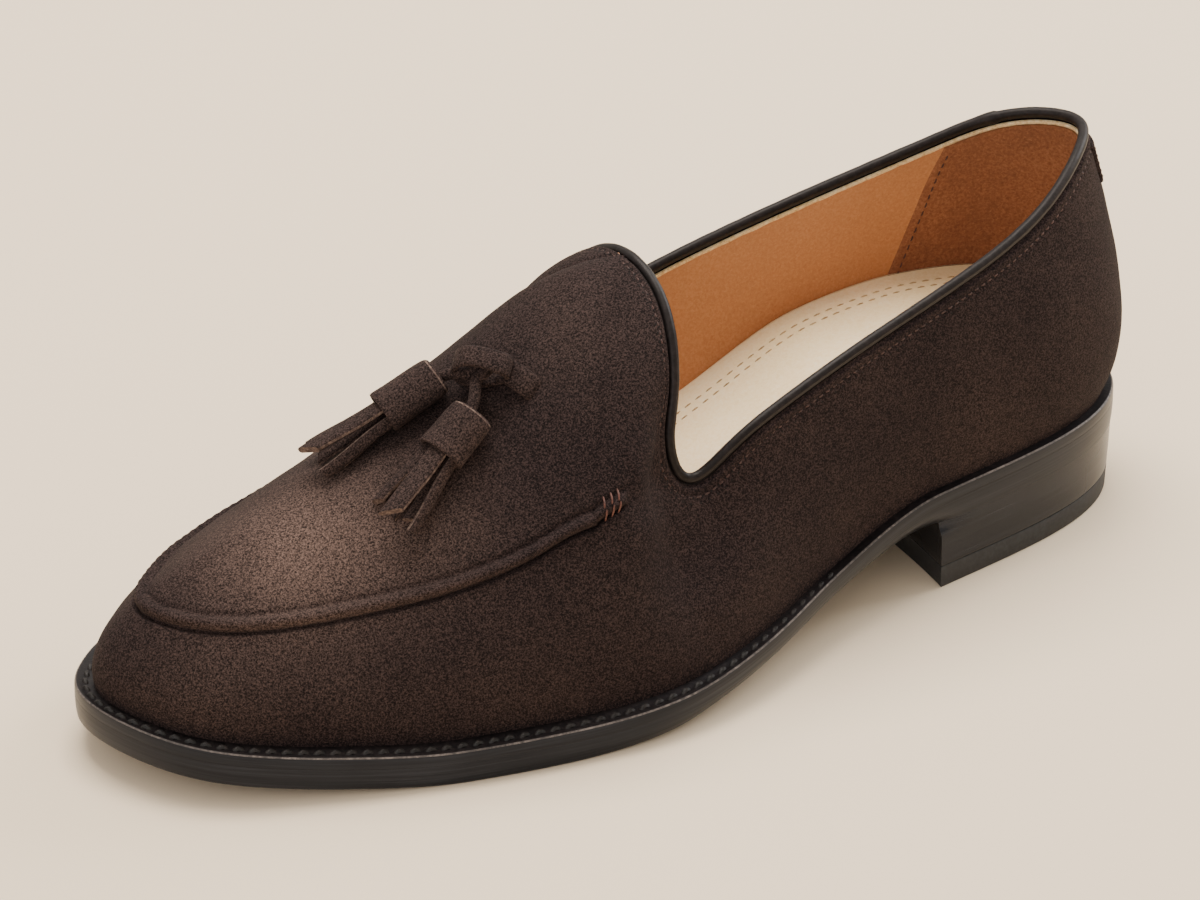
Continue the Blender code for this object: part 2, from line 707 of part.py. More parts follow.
def section_shares(u):
    """Shares of the section for each row of faces, close together where the apron bead stands."""
    place = bead_share(u)
    first, second, third, fourth = handles(np.array([u]))
    length = np.linalg.norm(second - first) + np.linalg.norm(third - second) + np.linalg.norm(fourth - third)
    near = 0.5 * BEAD_WIDTH / (0.80 * length)
    wide = 0.075
    half = near + (wide - near) * (1.0 - bead_fade(np.array([u]))[0])
    offsets = np.array([-1.35, -0.85, -0.35, 0.25, 0.75, 1.10]) * half
    middle = place + offsets
    below = np.linspace(0.0, middle[0], 6)[:-1]
    above = np.linspace(middle[-1], 1.0, 7)[1:]
    return np.concatenate([below, middle, above])


BEAD_PROFILE = (-0.25, -1.0, 0.80, 1.0, 0.55, 0.0)


def build_upper(u):
    """Hollow upper: outer face with the apron bead, inner face one wall inside, rims at both edges."""
    outer = []
    inner = []
    for at in u:
        shares = section_shares(at)
        rows = len(shares)
        raised = np.zeros(rows)
        fade = bead_fade(np.array([at]))[0]
        for k, height in enumerate(BEAD_PROFILE):
            raised[5 + k] = fade * height * (BEAD_HEIGHT if height > 0.0 else GROOVE_DEPTH)
        column_u = np.full(rows, at)
        outer.append(upper_side(column_u, shares, raised))
        shares_in = np.linspace(0.0, 1.0, 10)
        inside = upper_side(np.full(len(shares_in), at), shares_in, -WALL)
        plan = outline(np.array([at]), -WALL)[0]
        inside[0] = (plan[0], plan[1], outer[-1][0, 2])
        inner.append(inside)
    count = len(u)
    rows = len(outer[0])
    rows_in = len(inner[0])
    points = np.concatenate(outer + inner)
    base = count * rows
    faces = []
    for i in range(count):
        j = (i + 1) % count
        for k in range(rows - 1):
            faces.append((i * rows + k, j * rows + k, j * rows + k + 1, i * rows + k + 1))
        for k in range(rows_in - 1):
            faces.append((base + i * rows_in + k, base + j * rows_in + k,
                          base + j * rows_in + k + 1, base + i * rows_in + k + 1))
        faces.append((i * rows, j * rows, base + j * rows_in, base + i * rows_in))
        if max(fold(u[i]), fold(u[j])) <= APEX_ROW + 1e-9:
            faces.append((i * rows + rows - 1, j * rows + rows - 1,
                          base + j * rows_in + rows_in - 1, base + i * rows_in + rows_in - 1))
    return add_piece("upper", points, faces, "brown_suede")


def build_piping(u):
    """Rolled piping round the whole collar, just above the upper's rim."""
    u = np.array([at for at in u if fold(at) <= APEX_ROW + 1e-9])
    u = np.concatenate([u[u > TIP_ROW][1:], u[u <= TIP_ROW]])
    _, square, normal = collar_frame(u)
    line = opening(u)
    radius = 0.5 * (PIPING_ROUND - FIT_GAP)
    centre = line - square * radius - normal * 0.5 * WALL
    sides = 8
    points = []
    for at in range(len(u)):
        for k in range(sides):
            angle = 2.0 * math.pi * (k + 0.5) / sides
            points.append(centre[at] + radius * (math.cos(angle) * normal[at] + math.sin(angle) * square[at]))
    faces = []
    for i in range(len(u)):
        j = (i + 1) % len(u)
        for k in range(sides):
            m = (k + 1) % sides
            faces.append((i * sides + k, j * sides + k, j * sides + m, i * sides + m))
    return add_piece("collar_piping", points, faces, "piping_leather")


def build_heel_tab():
    """Patch over the back seam, worked out from the upper's own function."""
    across = 9
    up = 6
    u = np.linspace(-TAB_HALF_ROWS, TAB_HALF_ROWS, across)
    points = []
    for away in (FIT_GAP, FIT_GAP + TAB_THICK):
        for k in range(up):
            v = TAB_START + (TAB_STOP - TAB_START) * k / (up - 1)
            narrow = 0.90 + 0.10 * k / (up - 1)
            points.append(upper_side(u * narrow, np.full(across, v), away))
    points = np.concatenate(points)
    faces = []
    layer = across * up
    for k in range(up - 1):
        for i in range(across - 1):
            quad = (k * across + i, k * across + i + 1, (k + 1) * across + i + 1, (k + 1) * across + i)
            faces.append(quad)
            faces.append(tuple(layer + n for n in quad))
    rim = [i for i in range(across)]
    rim += [k * across + across - 1 for k in range(1, up)]
    rim += [(up - 1) * across + i for i in range(across - 2, -1, -1)]
    rim += [k * across for k in range(up - 2, 0, -1)]
    for n in range(len(rim)):
        a = rim[n]
        b = rim[(n + 1) % len(rim)]
        faces.append((a, b, layer + b, layer + a))
    return add_piece("heel_tab", points, faces, "brown_suede")


def place_on_vamp(place):
    """Point over the vamp for a (row, share, height) place, and the leather's normal there."""
    u = np.array([place[0]])
    v = np.array([place[1]])
    normal = surface_normal(u, v)[0]
    return upper_side(u, v, place[2] * RING_RADIUS)[0], normal


def unit(vector):
    """Vector scaled to length one."""
    return vector / np.linalg.norm(vector)


def tube(points, radius, sides=8, square=None):
    """Closed round bar through points, as points and faces."""
    points = [np.array(p, float) for p in points]
    shape = []
    side = None
    for i, point in enumerate(points):
        ahead = points[min(i + 1, len(points) - 1)] - points[max(i - 1, 0)]
        ahead = unit(ahead)
        if side is None:
            side = unit(np.cross(ahead, (0.0, 0.0, 1.0)))
        side = unit(side - ahead * np.dot(side, ahead))
        rise = np.cross(side, ahead)
        for k in range(sides):
            angle = 2.0 * math.pi * k / sides
            shape.append(point + radius * (math.cos(angle) * side + math.sin(angle) * rise))
    faces = []
    for i in range(len(points) - 1):
        for k in range(sides):
            m = (k + 1) % sides
            faces.append((i * sides + k, i * sides + m, (i + 1) * sides + m, (i + 1) * sides + k))
    faces.append(tuple(range(sides)))
    faces.append(tuple((len(points) - 1) * sides + k for k in range(sides)))
    return np.array(shape), faces


def slab(centres, across, normals, half_widths, thick):
    """Bent strap of a thickness through centre points."""
    points = []
    for centre, side, normal, half in zip(centres, across, normals, half_widths):
        for a, b in ((-1, -1), (1, -1), (1, 1), (-1, 1)):
            points.append(centre + side * half * a + normal * 0.5 * thick * b)
    faces = []
    for i in range(len(centres) - 1):
        for k in range(4):
            m = (k + 1) % 4
            faces.append((i * 4 + k, i * 4 + m, (i + 1) * 4 + m, (i + 1) * 4 + k))
    faces.append((0, 1, 2, 3))
    faces.append(tuple((len(centres) - 1) * 4 + k for k in range(4)))
    return np.array(points), faces


def fuse(name, shapes, finish):
    """Union of closed shapes into one named solid, all joined in one pass."""
    items = [add_piece(name + "_" + str(i), shape, faces, finish) for i, (shape, faces) in enumerate(shapes)]
    group = bpy.data.collections.new(name + "_shapes")
    for item in items[1:]:
        group.objects.link(item)
    union = items[0].modifiers.new("join", "BOOLEAN")
    union.operation = "UNION"
    union.solver = "EXACT"
    union.operand_type = "COLLECTION"
    union.collection = group
    bpy.context.view_layer.update()
    graph = bpy.context.evaluated_depsgraph_get()
    joined = bpy.data.meshes.new_from_object(items[0].evaluated_get(graph))
    for item in items:
        bpy.data.objects.remove(item, do_unlink=True)
    bpy.data.collections.remove(group)
    work = bmesh.new()
    work.from_mesh(joined)
    bmesh.ops.triangulate(work, faces=work.faces)
    work.to_mesh(joined)
    work.free()
    joined.name = name
    result = bpy.data.objects.new(name, joined)
    bpy.context.collection.objects.link(result)
    return result


def tassel_frame(places):
    """Axis points of a tassel: cap top, cap end and strip end, with the normal under it."""
    top, normal = place_on_vamp(places[0])
    end, _ = place_on_vamp(places[1])
    tip, _ = place_on_vamp(places[2])
    return top, end, tip, normal


def build_tassel(name, places, hand):
    """Cap, strips and the stub of cord that passes through the knot's ring."""
    top, end, tip, normal = tassel_frame(places)
    axis = unit(end - top)
    top = top + axis * CAP_SETBACK
    side = unit(np.cross(normal, axis))
    rise = np.cross(axis, side)
    length = np.linalg.norm(end - top)
    sides = 14
    rings = ((0.00, 0.50), (0.04, 0.80), (0.12, 0.96), (0.55, 1.00), (1.00, 1.06))
    points = []
    for along, size in rings:
        for k in range(sides):
            angle = 2.0 * math.pi * k / sides
            points.append(top + axis * along * length + size * (
                CAP_HALF_WIDTH * math.cos(angle) * side + CAP_HALF_DEPTH * math.sin(angle) * rise))
    faces = loop_bands(len(rings), sides)
    faces.append(tuple(range(sides)))
    faces.append(tuple((len(rings) - 1) * sides + k for k in range(sides)))
    shapes = [(np.array(points), faces)]
    ring, _ = place_on_vamp(RING_PLACE)
    down = unit(tip - end)
    reach = np.linalg.norm(tip - end)
    through = knot_axis()
    cord_side = unit(np.cross(place_on_vamp(RING_PLACE)[1], through)) * -hand
    start = ring + through * 0.32 * RING_WIDTH + cord_side * CORD_SPACING
    mouth = ring + through * (0.5 * RING_WIDTH + 0.0009) + cord_side * CORD_SPACING * 1.1
    shapes.append(tube((start, mouth, 0.5 * (mouth + top) + 0.0003 * rise, top + axis * 0.20 * length), CORD_RADIUS))
    for number, row in enumerate(STRIP_ROWS):
        values = dict(zip(STRIP_COLUMNS, row))
        root = STRIP_ROOT * (0.80 + 0.07 * number)
        tilt = math.radians(values["tilt"])
        strip_side = math.cos(tilt) * side - math.sin(tilt) * rise
        strip_up = math.cos(tilt) * rise + math.sin(tilt) * side
        offset = CAP_HALF_WIDTH * values["across"] * side + CAP_HALF_DEPTH * values["up"] * rise
        run = reach * values["length"]
        spread = 0.26 * offset
        stations = ((-root, 0.0, 0.86), (0.0, 0.0, 0.92), (0.40 * run, 0.5, 1.0), (0.84 * run, 1.0, 1.0),
                    (run, 1.1, 0.42))
        centres = []
        widths = []
        for along, open_share, width in stations:
            way = axis if along <= 0.0 else unit(axis * 0.35 + down * 0.65)
            centres.append(end + way * along + offset * 0.86 + spread * open_share)
            widths.append(0.5 * STRIP_WIDTH * width)
        count = len(centres)
        shapes.append(slab(centres, [strip_side] * count, [strip_up] * count, widths, THONG_THICK))
    return fuse(name, shapes, "brown_suede")


def knot_axis():
    """Direction of the cords through the knot's ring, level with the leather."""
    ring, normal = place_on_vamp(RING_PLACE)
    ahead = np.zeros(3)
    for name, top, end, tip, hand in TASSEL_PLACES:
        ahead += unit(place_on_vamp(end)[0] - place_on_vamp(top)[0])
    ahead = ahead - normal * np.dot(ahead, normal)
    return unit(ahead)


def build_knot():
    """Ring of thong round the two cords with straps that run back to the slots."""
    ring, normal = place_on_vamp(RING_PLACE)
    axis = knot_axis()
    side = unit(np.cross(normal, axis))
    sides = 20
    points = []
    for a, b in ((-0.5, 0.5), (0.5, 0.5), (0.5, -0.5), (-0.5, -0.5)):
        for k in range(sides):
            angle = 2.0 * math.pi * k / sides
            radius = RING_RADIUS + b * THONG_THICK
            points.append(ring + axis * a * RING_WIDTH + radius * (math.cos(angle) * side + math.sin(angle) * normal))
    faces = loop_bands(4, sides)
    faces += [(3 * sides + i, 3 * sides + (i + 1) % sides, (i + 1) % sides, i) for i in range(sides)]
    shapes = [(np.array(points), faces)]
    for number, place in enumerate(SLOT_PLACES):
        slot, slot_normal = place_on_vamp(place)
        hand = 1.0 if number == 0 else -1.0
        start = ring + side * hand * RING_RADIUS * 0.60 - normal * RING_RADIUS * 0.80 - axis * 0.20 * RING_WIDTH
        way = unit(slot - start)
        middle = 0.5 * (start + slot) + normal * 0.0010
        across = unit(np.cross(slot_normal, way))
        centres = (start, middle, slot)
        shapes.append(slab(centres, [across] * 3, [normal, normal, slot_normal], [0.0026, 0.0026, 0.0024],
                           THONG_THICK))
    return fuse("tassel_knot", shapes, "brown_suede")


def build_shoe():
    """Clear the scene and build every piece."""
    for item in list(bpy.data.objects):
        bpy.data.objects.remove(item, do_unlink=True)
    u = row_places(COLUMN_COUNTS)
    build_outsole(u)
    build_welt(u)
    build_heel()
    build_insole(u)
    build_upper(u)
    build_piping(u)
    build_heel_tab()
    build_knot()
    for name, top, end, tip, hand in TASSEL_PLACES:
        build_tassel(name, (top, end, tip), hand)


build_shoe()
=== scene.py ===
"""Looks of a left tassel loafer in dark brown suede: surfaces, finishes, stitching, floor and light.

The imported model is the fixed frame.  `Last` repeats the sizes of the shoe, so every visible surface
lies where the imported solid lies.  Each class below builds and dresses one sub-assembly.  Lengths are
metres; x runs from the last's back to the toe, +Y is the outer side and z is height off the floor.
"""

import logging
import math
from collections.abc import Callable, Sequence
from dataclasses import dataclass, field, replace
from enum import Enum

import bpy
import numpy as np
from mathutils import Matrix, Vector, noise


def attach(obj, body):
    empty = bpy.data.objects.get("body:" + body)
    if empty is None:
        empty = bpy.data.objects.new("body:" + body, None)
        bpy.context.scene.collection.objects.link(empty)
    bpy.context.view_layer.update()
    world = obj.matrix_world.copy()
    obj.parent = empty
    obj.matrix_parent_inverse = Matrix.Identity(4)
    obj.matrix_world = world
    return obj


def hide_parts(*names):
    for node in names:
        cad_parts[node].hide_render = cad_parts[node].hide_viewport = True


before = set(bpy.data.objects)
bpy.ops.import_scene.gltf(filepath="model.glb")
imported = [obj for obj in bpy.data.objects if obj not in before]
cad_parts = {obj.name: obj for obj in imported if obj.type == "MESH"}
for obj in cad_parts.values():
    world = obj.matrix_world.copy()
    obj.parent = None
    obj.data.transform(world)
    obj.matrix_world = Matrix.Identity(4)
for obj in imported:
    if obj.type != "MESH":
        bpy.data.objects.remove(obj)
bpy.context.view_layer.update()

LOG = logging.getLogger("tassel_loafer")
Array = np.ndarray
Face = tuple[int, ...]
Pair = tuple[float, float]
Pairs = tuple[Pair, ...]
Triple = tuple[float, float, float]
Triples = tuple[Triple, ...]
Tree = bpy.types.NodeTree
Socket = bpy.types.NodeSocket

# One row for each section from the heel back round to the toe tip; lengths are shares of the last's
# length, the ball's width and the back's height, edge is the welt's width over the ball's, and angles
# are degrees.
LAST_COLUMNS = ("along", "lateral", "medial", "edge", "stop", "lean", "lean_in", "lift", "lift_in",
                "roll", "face", "skew", "reach", "bead")
LAST_ROWS = (
    (0.000,  0.000,  0.000,  0.030,  0.00, 30, 30, 0.31, 0.31, 14, -90,   0, 0.34, 0.40),
    (0.024,  0.168,  0.175,  0.027,  1.00, 28, 28, 0.32, 0.32, 13, -48,  -4, 0.34, 0.40),
    (0.097,  0.276,  0.282,  0.026,  2.00, 20, 20, 0.34, 0.34, 14, -16, -14, 0.34, 0.40),
    (0.214,  0.329,  0.318,  0.026,  3.00, 12, 15, 0.36, 0.36, 12,  -4, -14, 0.34, 0.40),
    (0.338,  0.380,  0.288,  0.030,  4.00,  8, 22, 0.36, 0.36, 10,   0, -14, 0.34, 0.40),
    (0.438,  0.475,  0.268,  0.037,  5.45,  2, 26, 0.36, 0.34, 16,   0, -20, 0.34, 0.40),
    (0.517,  0.535,  0.300,  0.046,  6.90,  0, 19, 0.34, 0.31, 28,  -2,  12, 0.25, 0.40),
    (0.579,  0.548,  0.352,  0.053,  9.40,  2, 10, 0.32, 0.28, 26,  -8,  50, 0.25, 0.40),
    (0.641,  0.523,  0.408,  0.057, 12.00,  5,  5, 0.31, 0.26, 90,   0,  40, 0.28, 0.40),
    (0.724,  0.470,  0.448,  0.060, 12.00,  8,  6, 0.30, 0.26, 90,   0,  45, 0.31, 0.415),
    (0.814,  0.388,  0.438,  0.061, 12.00, 10,  9, 0.30, 0.27, 90,   0,  50, 0.31, 0.45),
    (0.903,  0.280,  0.375,  0.060, 12.00, 12, 12, 0.31, 0.29, 90,   0,  43, 0.31, 0.49),
    (0.969,  0.140,  0.245,  0.056, 12.00, 14, 14, 0.33, 0.32, 90,   0,  24, 0.31, 0.53),
    (1.000, -0.090, -0.090,  0.046, 12.00, 15, 15, 0.35, 0.35, 90,   0,   0, 0.30, 0.55),
)
# Collar line from the heel back to the tongue: along, lateral, medial, up
OPENING_ROWS = (
    (0.0141,  0.000, 0.000, 1.004), (0.0455,  0.129, 0.143, 0.990), (0.1117,  0.229, 0.253, 0.919),
    (0.2092,  0.292, 0.313, 0.844), (0.3320,  0.334, 0.358, 0.763), (0.4210,  0.358, 0.380, 0.688),
    (0.4740,  0.357, 0.370, 0.610), (0.5050,  0.342, 0.350, 0.570), (0.5115,  0.326, 0.334, 0.620),
    (0.5035,  0.294, 0.305, 0.732), (0.4885,  0.225, 0.245, 0.870), (0.4790,  0.115, 0.150, 0.962),
    (0.4770, -0.020, 0.020, 0.998),
)
# Centre line of the vamp from the tongue to the toe: along, across, up
RIDGE_ROWS = (
    (0.477, -0.020, 0.998), (0.530, -0.024, 0.982), (0.595, -0.030, 0.893), (0.680, -0.040, 0.752),
    (0.760, -0.050, 0.645), (0.830, -0.055, 0.570), (0.890, -0.060, 0.515),
)
# Underside of the sole: along, share of the heel height, share of the toe spring
BOTTOM_ROWS = (
    (-0.03, 1.000, 0.0), (0.11, 0.980, 0.0), (0.245, 0.945, 0.0), (0.36, 0.560, 0.0), (0.47, 0.250, 0.0),
    (0.57, 0.065, 0.0), (0.665, 0.0, 0.0), (0.765, 0.0, 0.0), (0.865, 0.0, 0.270), (0.95, 0.0, 0.640),
    (1.03, 0.0, 1.06),
)
# Share of the sole's bevel at shares of the length
WAIST_ROWS = ((0.0, 0.06), (0.20, 0.06), (0.27, 0.50), (0.40, 1.0), (0.50, 0.75), (0.58, 0.30),
              (0.68, 0.09), (1.1, 0.09))
# How far the footbed's face stands over the insole's toe height, as a share of the full rise
FOOTBED_ROWS = ((-0.03, 0.86), (0.03, 0.90), (0.10, 0.97), (0.15, 1.00), (0.21, 0.95), (0.29, 0.80),
                (0.36, 0.68), (0.44, 0.50), (0.53, 0.28), (0.62, 0.10), (0.70, 0.0), (1.03, 0.0))
# How far along the ridge the sections from the tongue to the toe end
RIDGE_SHARE = (0.0, 0.255, 0.545, 0.80, 0.945, 1.0)
# Row of the tongue's middle, where the collar ends; row of the toe tip; rows right round the shoe
APEX_ROW = 8
TIP_ROW = 13
ROWS = 2 * TIP_ROW
UP = (0.0, 0.0, 1.0)


def unit(vectors: Array) -> Array:
    """Scale vectors to length one along their last axis."""
    return vectors / np.maximum(np.linalg.norm(vectors, axis=-1, keepdims=True), 1e-12)


def ramp(values: Array, low: float, high: float) -> Array:
    """Smooth step from 0 at `low` to 1 at `high`."""
    t = np.clip((np.asarray(values, float) - low) / (high - low), 0.0, 1.0)
    return t * t * (3.0 - 2.0 * t)


def hump(values: Array, width: float) -> Array:
    """Bell of height 1 at 0 that falls to 1/e at `width` on either side."""
    return np.exp(-(values / width)**2)


def run_along(points: Array) -> Array:
    """Distance of each point from the first, measured along the path."""
    return np.concatenate([[0.0], np.cumsum(np.linalg.norm(np.diff(points, axis=0), axis=1))])


def full_turn(count: int) -> Array:
    """Even angles round a full turn."""
    return np.arange(count) * 2.0 * math.pi / count


def ring_ways(angle: Array, across: Array, up: Array) -> Array:
    """Ways at angles round a ring, counted from `across` towards `up`."""
    return np.cos(angle)[:, None] * across + np.sin(angle)[:, None] * up


def facing(ways: Array, towards: Array) -> Array:
    """The ways, each turned round where it points away from `towards`."""
    return ways * np.sign((ways * towards).sum(1))[:, None]


def over_heel(row: float, count: int) -> Array:
    """Section rows from a row on the medial side round the heel back to the same row on the lateral side."""
    return np.concatenate([np.linspace(ROWS - row, ROWS, count)[:-1], np.linspace(0.0, row, count)])


def cubic(t: Array, a: Array, b: Array, slope_a: Array, slope_b: Array) -> Array:
    """Hermite cubic from `a` to `b` with the given slopes for one unit of `t`."""
    return ((2 * t**3 - 3 * t**2 + 1) * a + (t**3 - 2 * t**2 + t) * slope_a
            + (3 * t**2 - 2 * t**3) * b + (t**3 - t**2) * slope_b)


def closed_spline(values: Array, at: Array, step: Array | None = None) -> Array:
    """Closed cubic spline through rows that follow each other at given steps.

    Args:
        values: one value or point for each row.
        at: places to read, wrapped round.
        step: distance from each row to the next, or None where places are row numbers.

    Returns:
        The values at those places.
    """
    points = np.asarray(values, float)
    count = len(points)
    step = np.ones(count) if step is None else step
    before = np.roll(step, 1)
    rows = np.arange(count)
    system = np.diag(2.0 / before + 2.0 / step)
    system[rows, rows - 1] += 1.0 / before
    system[rows, (rows + 1) % count] += 1.0 / step
    tall = (-1,) + (1,) * (points.ndim - 1)
    climb = (np.roll(points, -1, 0) - points) / step.reshape(tall)**2
    slopes = np.linalg.solve(system, 3.0 * (np.roll(climb, 1, 0) + climb))
    knots = np.append(0.0, np.cumsum(step))
    at = np.mod(np.asarray(at, float), knots[-1])
    low = np.clip(np.searchsorted(knots, at, side="right") - 1, 0, count - 1)
    high = (low + 1) % count
    width = step[low].reshape(tall)
    t = (at - knots[low]).reshape(tall) / width
    return cubic(t, points[low], points[high], width * slopes[low], width * slopes[high])


def smooth_table(xs: Sequence[float], ys: Sequence[float], at: Array) -> Array:
    """Cubic through a short table that never overshoots its rows.

    Args:
        xs: places of the rows, rising.
        ys: values of the rows.
        at: places to read.

    Returns:
        The values at those places.
    """
    xs, ys, at = (np.asarray(part, float) for part in (xs, ys, at))
    step = np.diff(xs)
    rate = np.diff(ys) / step
    slope = np.zeros(len(xs))
    for i in range(1, len(xs) - 1):
        if rate[i - 1] * rate[i] > 0.0:
            a = 2 * step[i] + step[i - 1]
            b = step[i] + 2 * step[i - 1]
            slope[i] = (a + b) / (a / rate[i - 1] + b / rate[i])
    slope[0], slope[-1] = rate[0], rate[-1]
    i = np.clip(np.searchsorted(xs, at, side="right") - 1, 0, len(xs) - 2)
    t = np.clip((at - xs[i]) / step[i], 0.0, 1.0)
    return cubic(t, ys[i], ys[i + 1], step[i] * slope[i], step[i] * slope[i + 1])


def natural_spline(xs: Sequence[float], ys: Array, at: Array) -> Array:
    """Natural cubic spline through a short table of values or points.

    Args:
        xs: places of the rows, rising.
        ys: a value or a point for each row.
        at: places to read.

    Returns:
        The values or points at those places.
    """
    xs, ys, at = (np.asarray(part, float) for part in (xs, ys, at))
    n = len(xs)
    step = np.diff(xs)
    system = np.zeros((n, n))
    right = np.zeros((n,) + ys.shape[1:])
    system[0, :2] = (2.0, 1.0)
    right[0] = 3 * (ys[1] - ys[0]) / step[0]
    for i in range(1, n - 1):
        system[i, i - 1:i + 2] = (1 / step[i - 1], 2 / step[i - 1] + 2 / step[i], 1 / step[i])
        right[i] = 3 * ((ys[i] - ys[i - 1]) / step[i - 1]**2 + (ys[i + 1] - ys[i]) / step[i]**2)
    system[-1, -2:] = (1.0, 2.0)
    right[-1] = 3 * (ys[-1] - ys[-2]) / step[-1]
    slope = np.linalg.solve(system, right)
    i = np.clip(np.searchsorted(xs, at, side="right") - 1, 0, n - 2)
    shape = at.shape + (1,) * (ys.ndim - 1)
    h = step[i].reshape(shape)
    t = ((at - xs[i]) / step[i]).reshape(shape)
    return cubic(t, ys[i], ys[i + 1], h * slope[i], h * slope[i + 1])


def loop_by_length(points: Array, at: Array) -> Array:
    """Closed cubic spline with knots at chord lengths, read at distances `at` along it."""
    return closed_spline(points, at, np.linalg.norm(np.roll(points, -1, 0) - points, axis=1))


def both_sides(lateral: Array, medial: Array | None = None) -> Array:
    """Half table from heel back to toe tip, run on round the medial side."""
    lateral = np.asarray(lateral, float)
    medial = lateral if medial is None else np.asarray(medial, float)
    return np.concatenate([lateral, medial[-2:0:-1]])


def rows_of(name: str) -> Array:
    """One named column of the last's table."""
    return np.array([row[LAST_COLUMNS.index(name)] for row in LAST_ROWS], float)


def fold(u: Array) -> Array:
    """Row number counted from the heel back on either side."""
    u = np.mod(np.asarray(u, float), ROWS)
    return np.where(u <= TIP_ROW, u, ROWS - u)


def sign(u: Array) -> Array:
    """1 on the lateral side and -1 on the medial side."""
    return np.where(np.mod(np.asarray(u, float), ROWS) <= TIP_ROW, 1.0, -1.0)


@dataclass(frozen=True)
class Last:
    """Sizes of the shoe and the surfaces that follow from them."""

    length: float = 0.290
    ball_width: float = 0.100
    back_height: float = 0.1005
    heel_height: float = 0.0196
    toe_spring: float = 0.0086
    outsole_thick: float = 0.0062
    welt_thick: float = 0.0030
    insole_rise: float = 0.0026
    footbed_rise: float = 0.0195
    wall: float = 0.0022
    fit_gap: float = 0.0003
    sole_bevel: float = 0.0062
    heel_length: float = 0.0700
    heel_hollow: float = 0.0025
    heel_taper: float = 0.0012
    top_piece_thick: float = 0.0060
    piping_round: float = 0.0031

    def bottom_rise(self, x: Array) -> Array:
        """Height of the sole's underside above the floor at distances from the last's back."""
        rows = np.array(BOTTOM_ROWS)
        rise = self.heel_height * rows[:, 1] + self.toe_spring * rows[:, 2]
        return smooth_table(rows[:, 0] * self.length, rise, x)

    def feather(self, u: Array) -> Array:
        """Plan of the line where the upper meets the welt."""
        rows = np.c_[both_sides(rows_of("along")) * self.length,
                     both_sides(rows_of("lateral"), -rows_of("medial")) * self.ball_width]
        rows[TIP_ROW, 1] = rows_of("lateral")[-1] * self.ball_width
        return closed_spline(rows, u)

    def outward(self, u: Array) -> Array:
        """Unit plan normals of the feather line, away from the foot."""
        along = unit(self.feather(np.asarray(u) + 0.02) - self.feather(np.asarray(u) - 0.02))
        return np.c_[-along[:, 1], along[:, 0]]

    def outline(self, u: Array, grow: Array | float) -> Array:
        """Feather line grown outward by a distance, in plan."""
        return self.feather(u) + self.outward(u) * np.reshape(grow, (-1, 1))

    def ledge(self, u: Array) -> Array:
        """Width of the welt outside the feather line."""
        return closed_spline(both_sides(rows_of("edge")), u) * self.ball_width

    def waist(self, u: Array) -> Array:
        """Share of the sole's bevel: almost none under heel and forepart, full in the waist."""
        rows = np.array(WAIST_ROWS)
        return smooth_table(rows[:, 0], rows[:, 1], self.feather(u)[:, 0] / self.length)

    def opening_points(self) -> Array:
        """Corner points of the collar line."""
        rows = np.array(OPENING_ROWS)
        lateral = rows[:, [0, 1, 3]] * [self.length, self.ball_width, self.back_height]
        medial = rows[:, [0, 2, 3]] * [self.length, -self.ball_width, self.back_height]
        return np.concatenate([lateral, medial[-2:0:-1]])

    def opening_length(self, u: Array) -> Array:
        """Distance round the collar at which each section ends."""
        points = self.opening_points()
        knots = run_along(np.concatenate([points, points[:1]]))
        stops = rows_of("stop")[:APEX_ROW + 1]
        last = len(OPENING_ROWS) - 1
        lateral = np.interp(stops, np.arange(last + 1), knots[:last + 1])
        medial = np.interp(2 * last - stops, np.arange(len(knots)), knots)
        rows = np.arange(APEX_ROW + 1)
        half = np.minimum(fold(u), APEX_ROW)
        near = smooth_table(rows, lateral, half)
        far = knots[-1] - smooth_table(rows, knots[-1] - medial, half)
        return np.where(sign(u) > 0, near, far)

    def opening(self, u: Array) -> Array:
        """Top line of the collar from the heel back to the tongue on both sides."""
        return loop_by_length(self.opening_points(), self.opening_length(u))

    def ridge(self, share: Array) -> Array:
        """Centre line of the vamp, from 0 at the tongue to 1 over the toe."""
        rows = np.array(RIDGE_ROWS) * np.array([self.length, self.ball_width, self.back_height])
        first = rows[1] - rows[0]
        rows[0] += first * (self.piping_round / np.linalg.norm(first))
        run = rows[:, 0]
        return natural_spline((run - run[0]) / (run[-1] - run[0]), rows, np.asarray(share, float))

    def ridge_share(self, u: Array) -> Array:
        """How far along the ridge a section ends: 0 up to the apex row, 1 at the toe row."""
        shares = np.array(RIDGE_SHARE)
        rows = np.arange(APEX_ROW, ROWS - APEX_ROW + 1)
        at = np.clip(fold(u), APEX_ROW, TIP_ROW)
        return np.clip(natural_spline(rows, np.concatenate([shares, shares[-2::-1]]), at), 0.0, 1.0)

    def ridge_tangent(self, share: Array) -> Array:
        """Unit direction of the ridge towards the toe, seen from the side."""
        along = self.ridge(np.clip(share + 0.01, 0, 1)) - self.ridge(np.clip(share - 0.01, 0, 1))
        along[:, 1] = 0.0
        return unit(along)

    def crest_normal(self, share: Array) -> Array:
        """Upward normal of the ridge, square to it and level across."""
        normal = np.cross(self.ridge_tangent(share), np.array([0.0, 1.0, 0.0]))
        return unit(normal * np.sign(normal[:, 2:3]))

